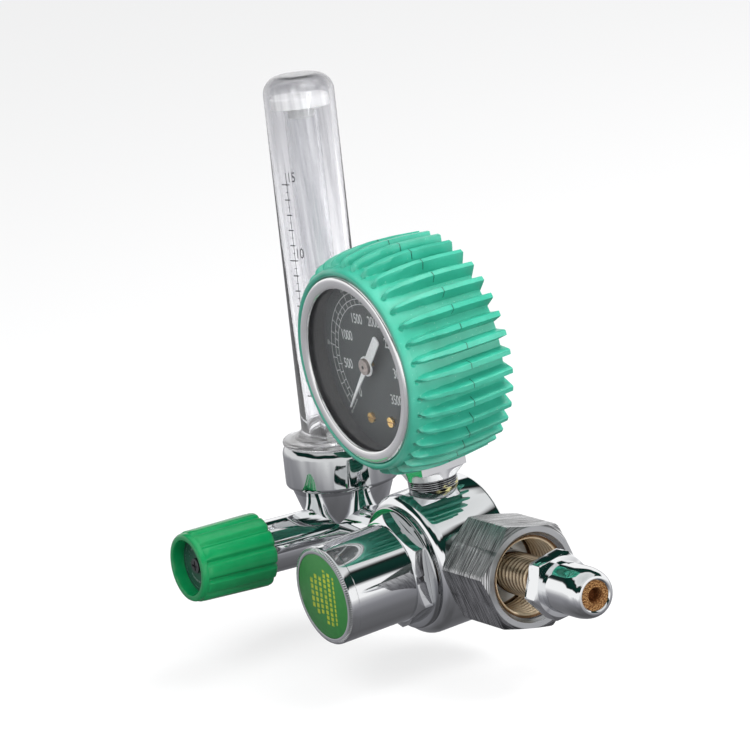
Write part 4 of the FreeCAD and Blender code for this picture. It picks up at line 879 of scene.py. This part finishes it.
# Top plug and float stop: mouldings of white plastic. The plug centres the metering tube in the
# cover and stops the ball above, and the drilled stop sits in the bore, under the ball.
milk_plastic = plastic("milk_plastic", (0.90, 0.90, 0.89), (0.96, 0.96, 0.95), 0.35)
# Painted light: the white plastic is given a faint glow of its own.
milk_plastic.set("Emission Color", (1, 1, 1))
milk_plastic.set("Emission Strength", 0.16)
plug_outline = [(0.8, 122.3), (3.85, 122.3), (3.9, 125.22), (8.2, 125.22), (8.58, 125.6), (8.58, 128.2),
                (8.1, 128.6), (0.8, 128.6)]
assemble("top_plug_moulded", [leaned(turn(plug_outline, up_z, flow_at))], milk_plastic, "regulator",
         ["top_plug"], 30)
finish_nodes(milk_plastic, "float_stop")

# Float: a small moulded ball of black plastic, loose in the metering tube's bore. It rests on its
# stop while no oxygen flows.
ball_black = plastic("ball_black", (0.012, 0.012, 0.013), (0.03, 0.03, 0.032), 0.2)
ball_bm = bmesh.new()
bmesh.ops.create_icosphere(ball_bm, subdivisions=5, radius=3.1 * MM)
bmesh.ops.translate(ball_bm, verts=ball_bm.verts, vec=(flow_at.x * MM, 0, 30.1 * MM))
assemble("float_round", [leaned(ball_bm)], ball_black, "float", ["float_ball"], 60)

# Flow scale: black print on the cover, bent round it, with marks for each litre a minute and the
# numbers 5, 10 and 15.
ink = Finish("scale_ink")
ink.set("Base Color", ink.mix(ink.grain(700), (0.02, 0.02, 0.022), (0.10, 0.10, 0.105)))
ink.set("Roughness", 0.6)
top_mark, litre_step, scale_r = 104.0, 4.48, 10.37
scale_bm = bmesh.new()


def scale_stroke(left, right, low, high):
    corners = ((left, low), (right, low), (right, high), (left, high))
    scale_bm.faces.new([scale_bm.verts.new((x * MM, z * MM, 0)) for x, z in corners])


for litre in range(1, 16):
    z = top_mark - litre_step * (15 - litre)
    scale_stroke(-1.3 if litre % 5 else -2.0, 0.6 if litre % 5 else 1.0, z - 0.16, z + 0.16)
    if litre < 15:
        scale_stroke(-0.6, 0.3, z + 2.16, z + 2.32)
scale_stroke(-0.1, 0.1, top_mark - litre_step * 14, 107.5)
for litre in (5, 10, 15):
    z = top_mark - litre_step * (15 - litre)
    place = Matrix.Translation((0.35 * MM, (z + 2.0) * MM, 0)) @ Matrix.Diagonal((0.66, 1, 1, 1))
    print_number(scale_bm, str(litre), 4.2, place)
long_edges = [e for e in scale_bm.edges if e.calc_length() > 0.9 * MM]
bmesh.ops.subdivide_edges(scale_bm, edges=long_edges, cuts=3, use_grid_fill=True)
for vert in scale_bm.verts:
    t = math.radians(21.5) + vert.co.x / (10.34 * MM)
    vert.co = (flow_at.x * MM + scale_r * MM * math.sin(t), -scale_r * MM * math.cos(t), vert.co.y)
assemble("flow_scale", [leaned(scale_bm)], ink, "regulator")

# Knob: moulded green plastic with twelve rounded lobes behind a plain front rim, hollow at both
# ends, pressed and screwed onto the valve's spindle.
moulded = Finish("knob_plastic")
swirl = moulded.grain(260, 3.0)
swirled = moulded.span(swirl, 0.3, 0.7)
moulded.set("Base Color", moulded.mix(swirled, (0.002, 0.205, 0.062), (0.004, 0.228, 0.070)))
moulded.set("Roughness", moulded.span(swirl, 0.3, 0.7, 0.18, 0.23))
moulded.set("Specular IOR Level", 0.6)
lobe_pitch, groove_half = 30, 6.5
knob_sides = [(10.6 + 0.5 * k / 24, 53.3 - 0.9 * k) for k in range(25)]
knob_outline = ([(0, 50.8), (8.1, 50.8), (8.1, 54.8), (8.3, 55.15), (8.7, 55.2), (9.3, 55.17)] +
                [(9.8, 54.95), (10.05, 54.5), (10.1, 53.6), (10.1, 53.5)] + knob_sides +
                [(10.95, 31.0), (10.4, 30.55), (9.4, 30.5), (9.1, 30.7), (9.1, 41.8), (0, 41.8)])
knob_shell = turn(knob_outline, to_front, flow_at, 480)
for vert in knob_shell.verts:
    east, north = vert.co.x / MM - flow_at.x, vert.co.z / MM
    reach, y = math.hypot(east, north), -vert.co.y / MM
    if reach > 9.9 and 30.49 < y < 53.45:
        off = abs((math.degrees(math.atan2(north, east)) + 360) % lobe_pitch - lobe_pitch / 2)
        groove = 0.5 + 0.5 * math.cos(math.pi * min(1.0, off / groove_half))
        fall = 0.66 * groove + 0.26 * (1 - off / (lobe_pitch / 2)) ** 2
        fall += 0.30 * max(0.0, 1 - (53.4 - y) / 1.2) ** 2
        vert.co.x = (flow_at.x + east * (reach - fall) / reach) * MM
        vert.co.z = north * (reach - fall) / reach * MM
assemble("knob_moulded", [leaned(knob_shell, valve_drop)], moulded, "knob", ["flow_knob"], 45)

# Knob's face: a dark printed disc at the bottom of the recess, with a ring, two turning arrows and
# the signs for more and less.
finish_nodes(plastic("disc_dark", (0.010, 0.05, 0.035), (0.018, 0.075, 0.05), 0.35), "knob_disc")
disc_print = plastic("disc_print", (0.28, 0.36, 0.33), (0.42, 0.50, 0.47), 0.5)
marks_bm = bmesh.new()
flat_arc(marks_bm, 0, 360, 6.9, 7.1, 72)
for start in (35, 215):
    flat_arc(marks_bm, start, start + 105, 4.7, 5.3, 24)
    head, tip = math.radians(start + 105), math.radians(start + 123)
    marks_bm.faces.new([marks_bm.verts.new((r * math.cos(t) * MM, 0, r * math.sin(t) * MM))
                        for r, t in ((4.0, head), (6.0, head), (5.0, tip))])
for across, wide, high in ((-3.4, 1.1, 0.25), (3.4, 1.1, 0.25), (3.4, 0.25, 1.1)):
    marks_bm.faces.new([marks_bm.verts.new(((across + i * wide) * MM, 0, j * high * MM))
                        for i, j in ((-1, -1), (1, -1), (1, 1), (-1, 1))])
disc_front = 50.8 + 0.62
bmesh.ops.translate(marks_bm, verts=marks_bm.verts, vec=(flow_at.x * MM, -disc_front * MM, 0))
assemble("knob_marks", [leaned(marks_bm, valve_drop)], disc_print, "knob")
finish_nodes(metal("screw_dark", (0.16, 0.16, 0.17), (0.10, 0.10, 0.11), 0.35), "knob_screw")
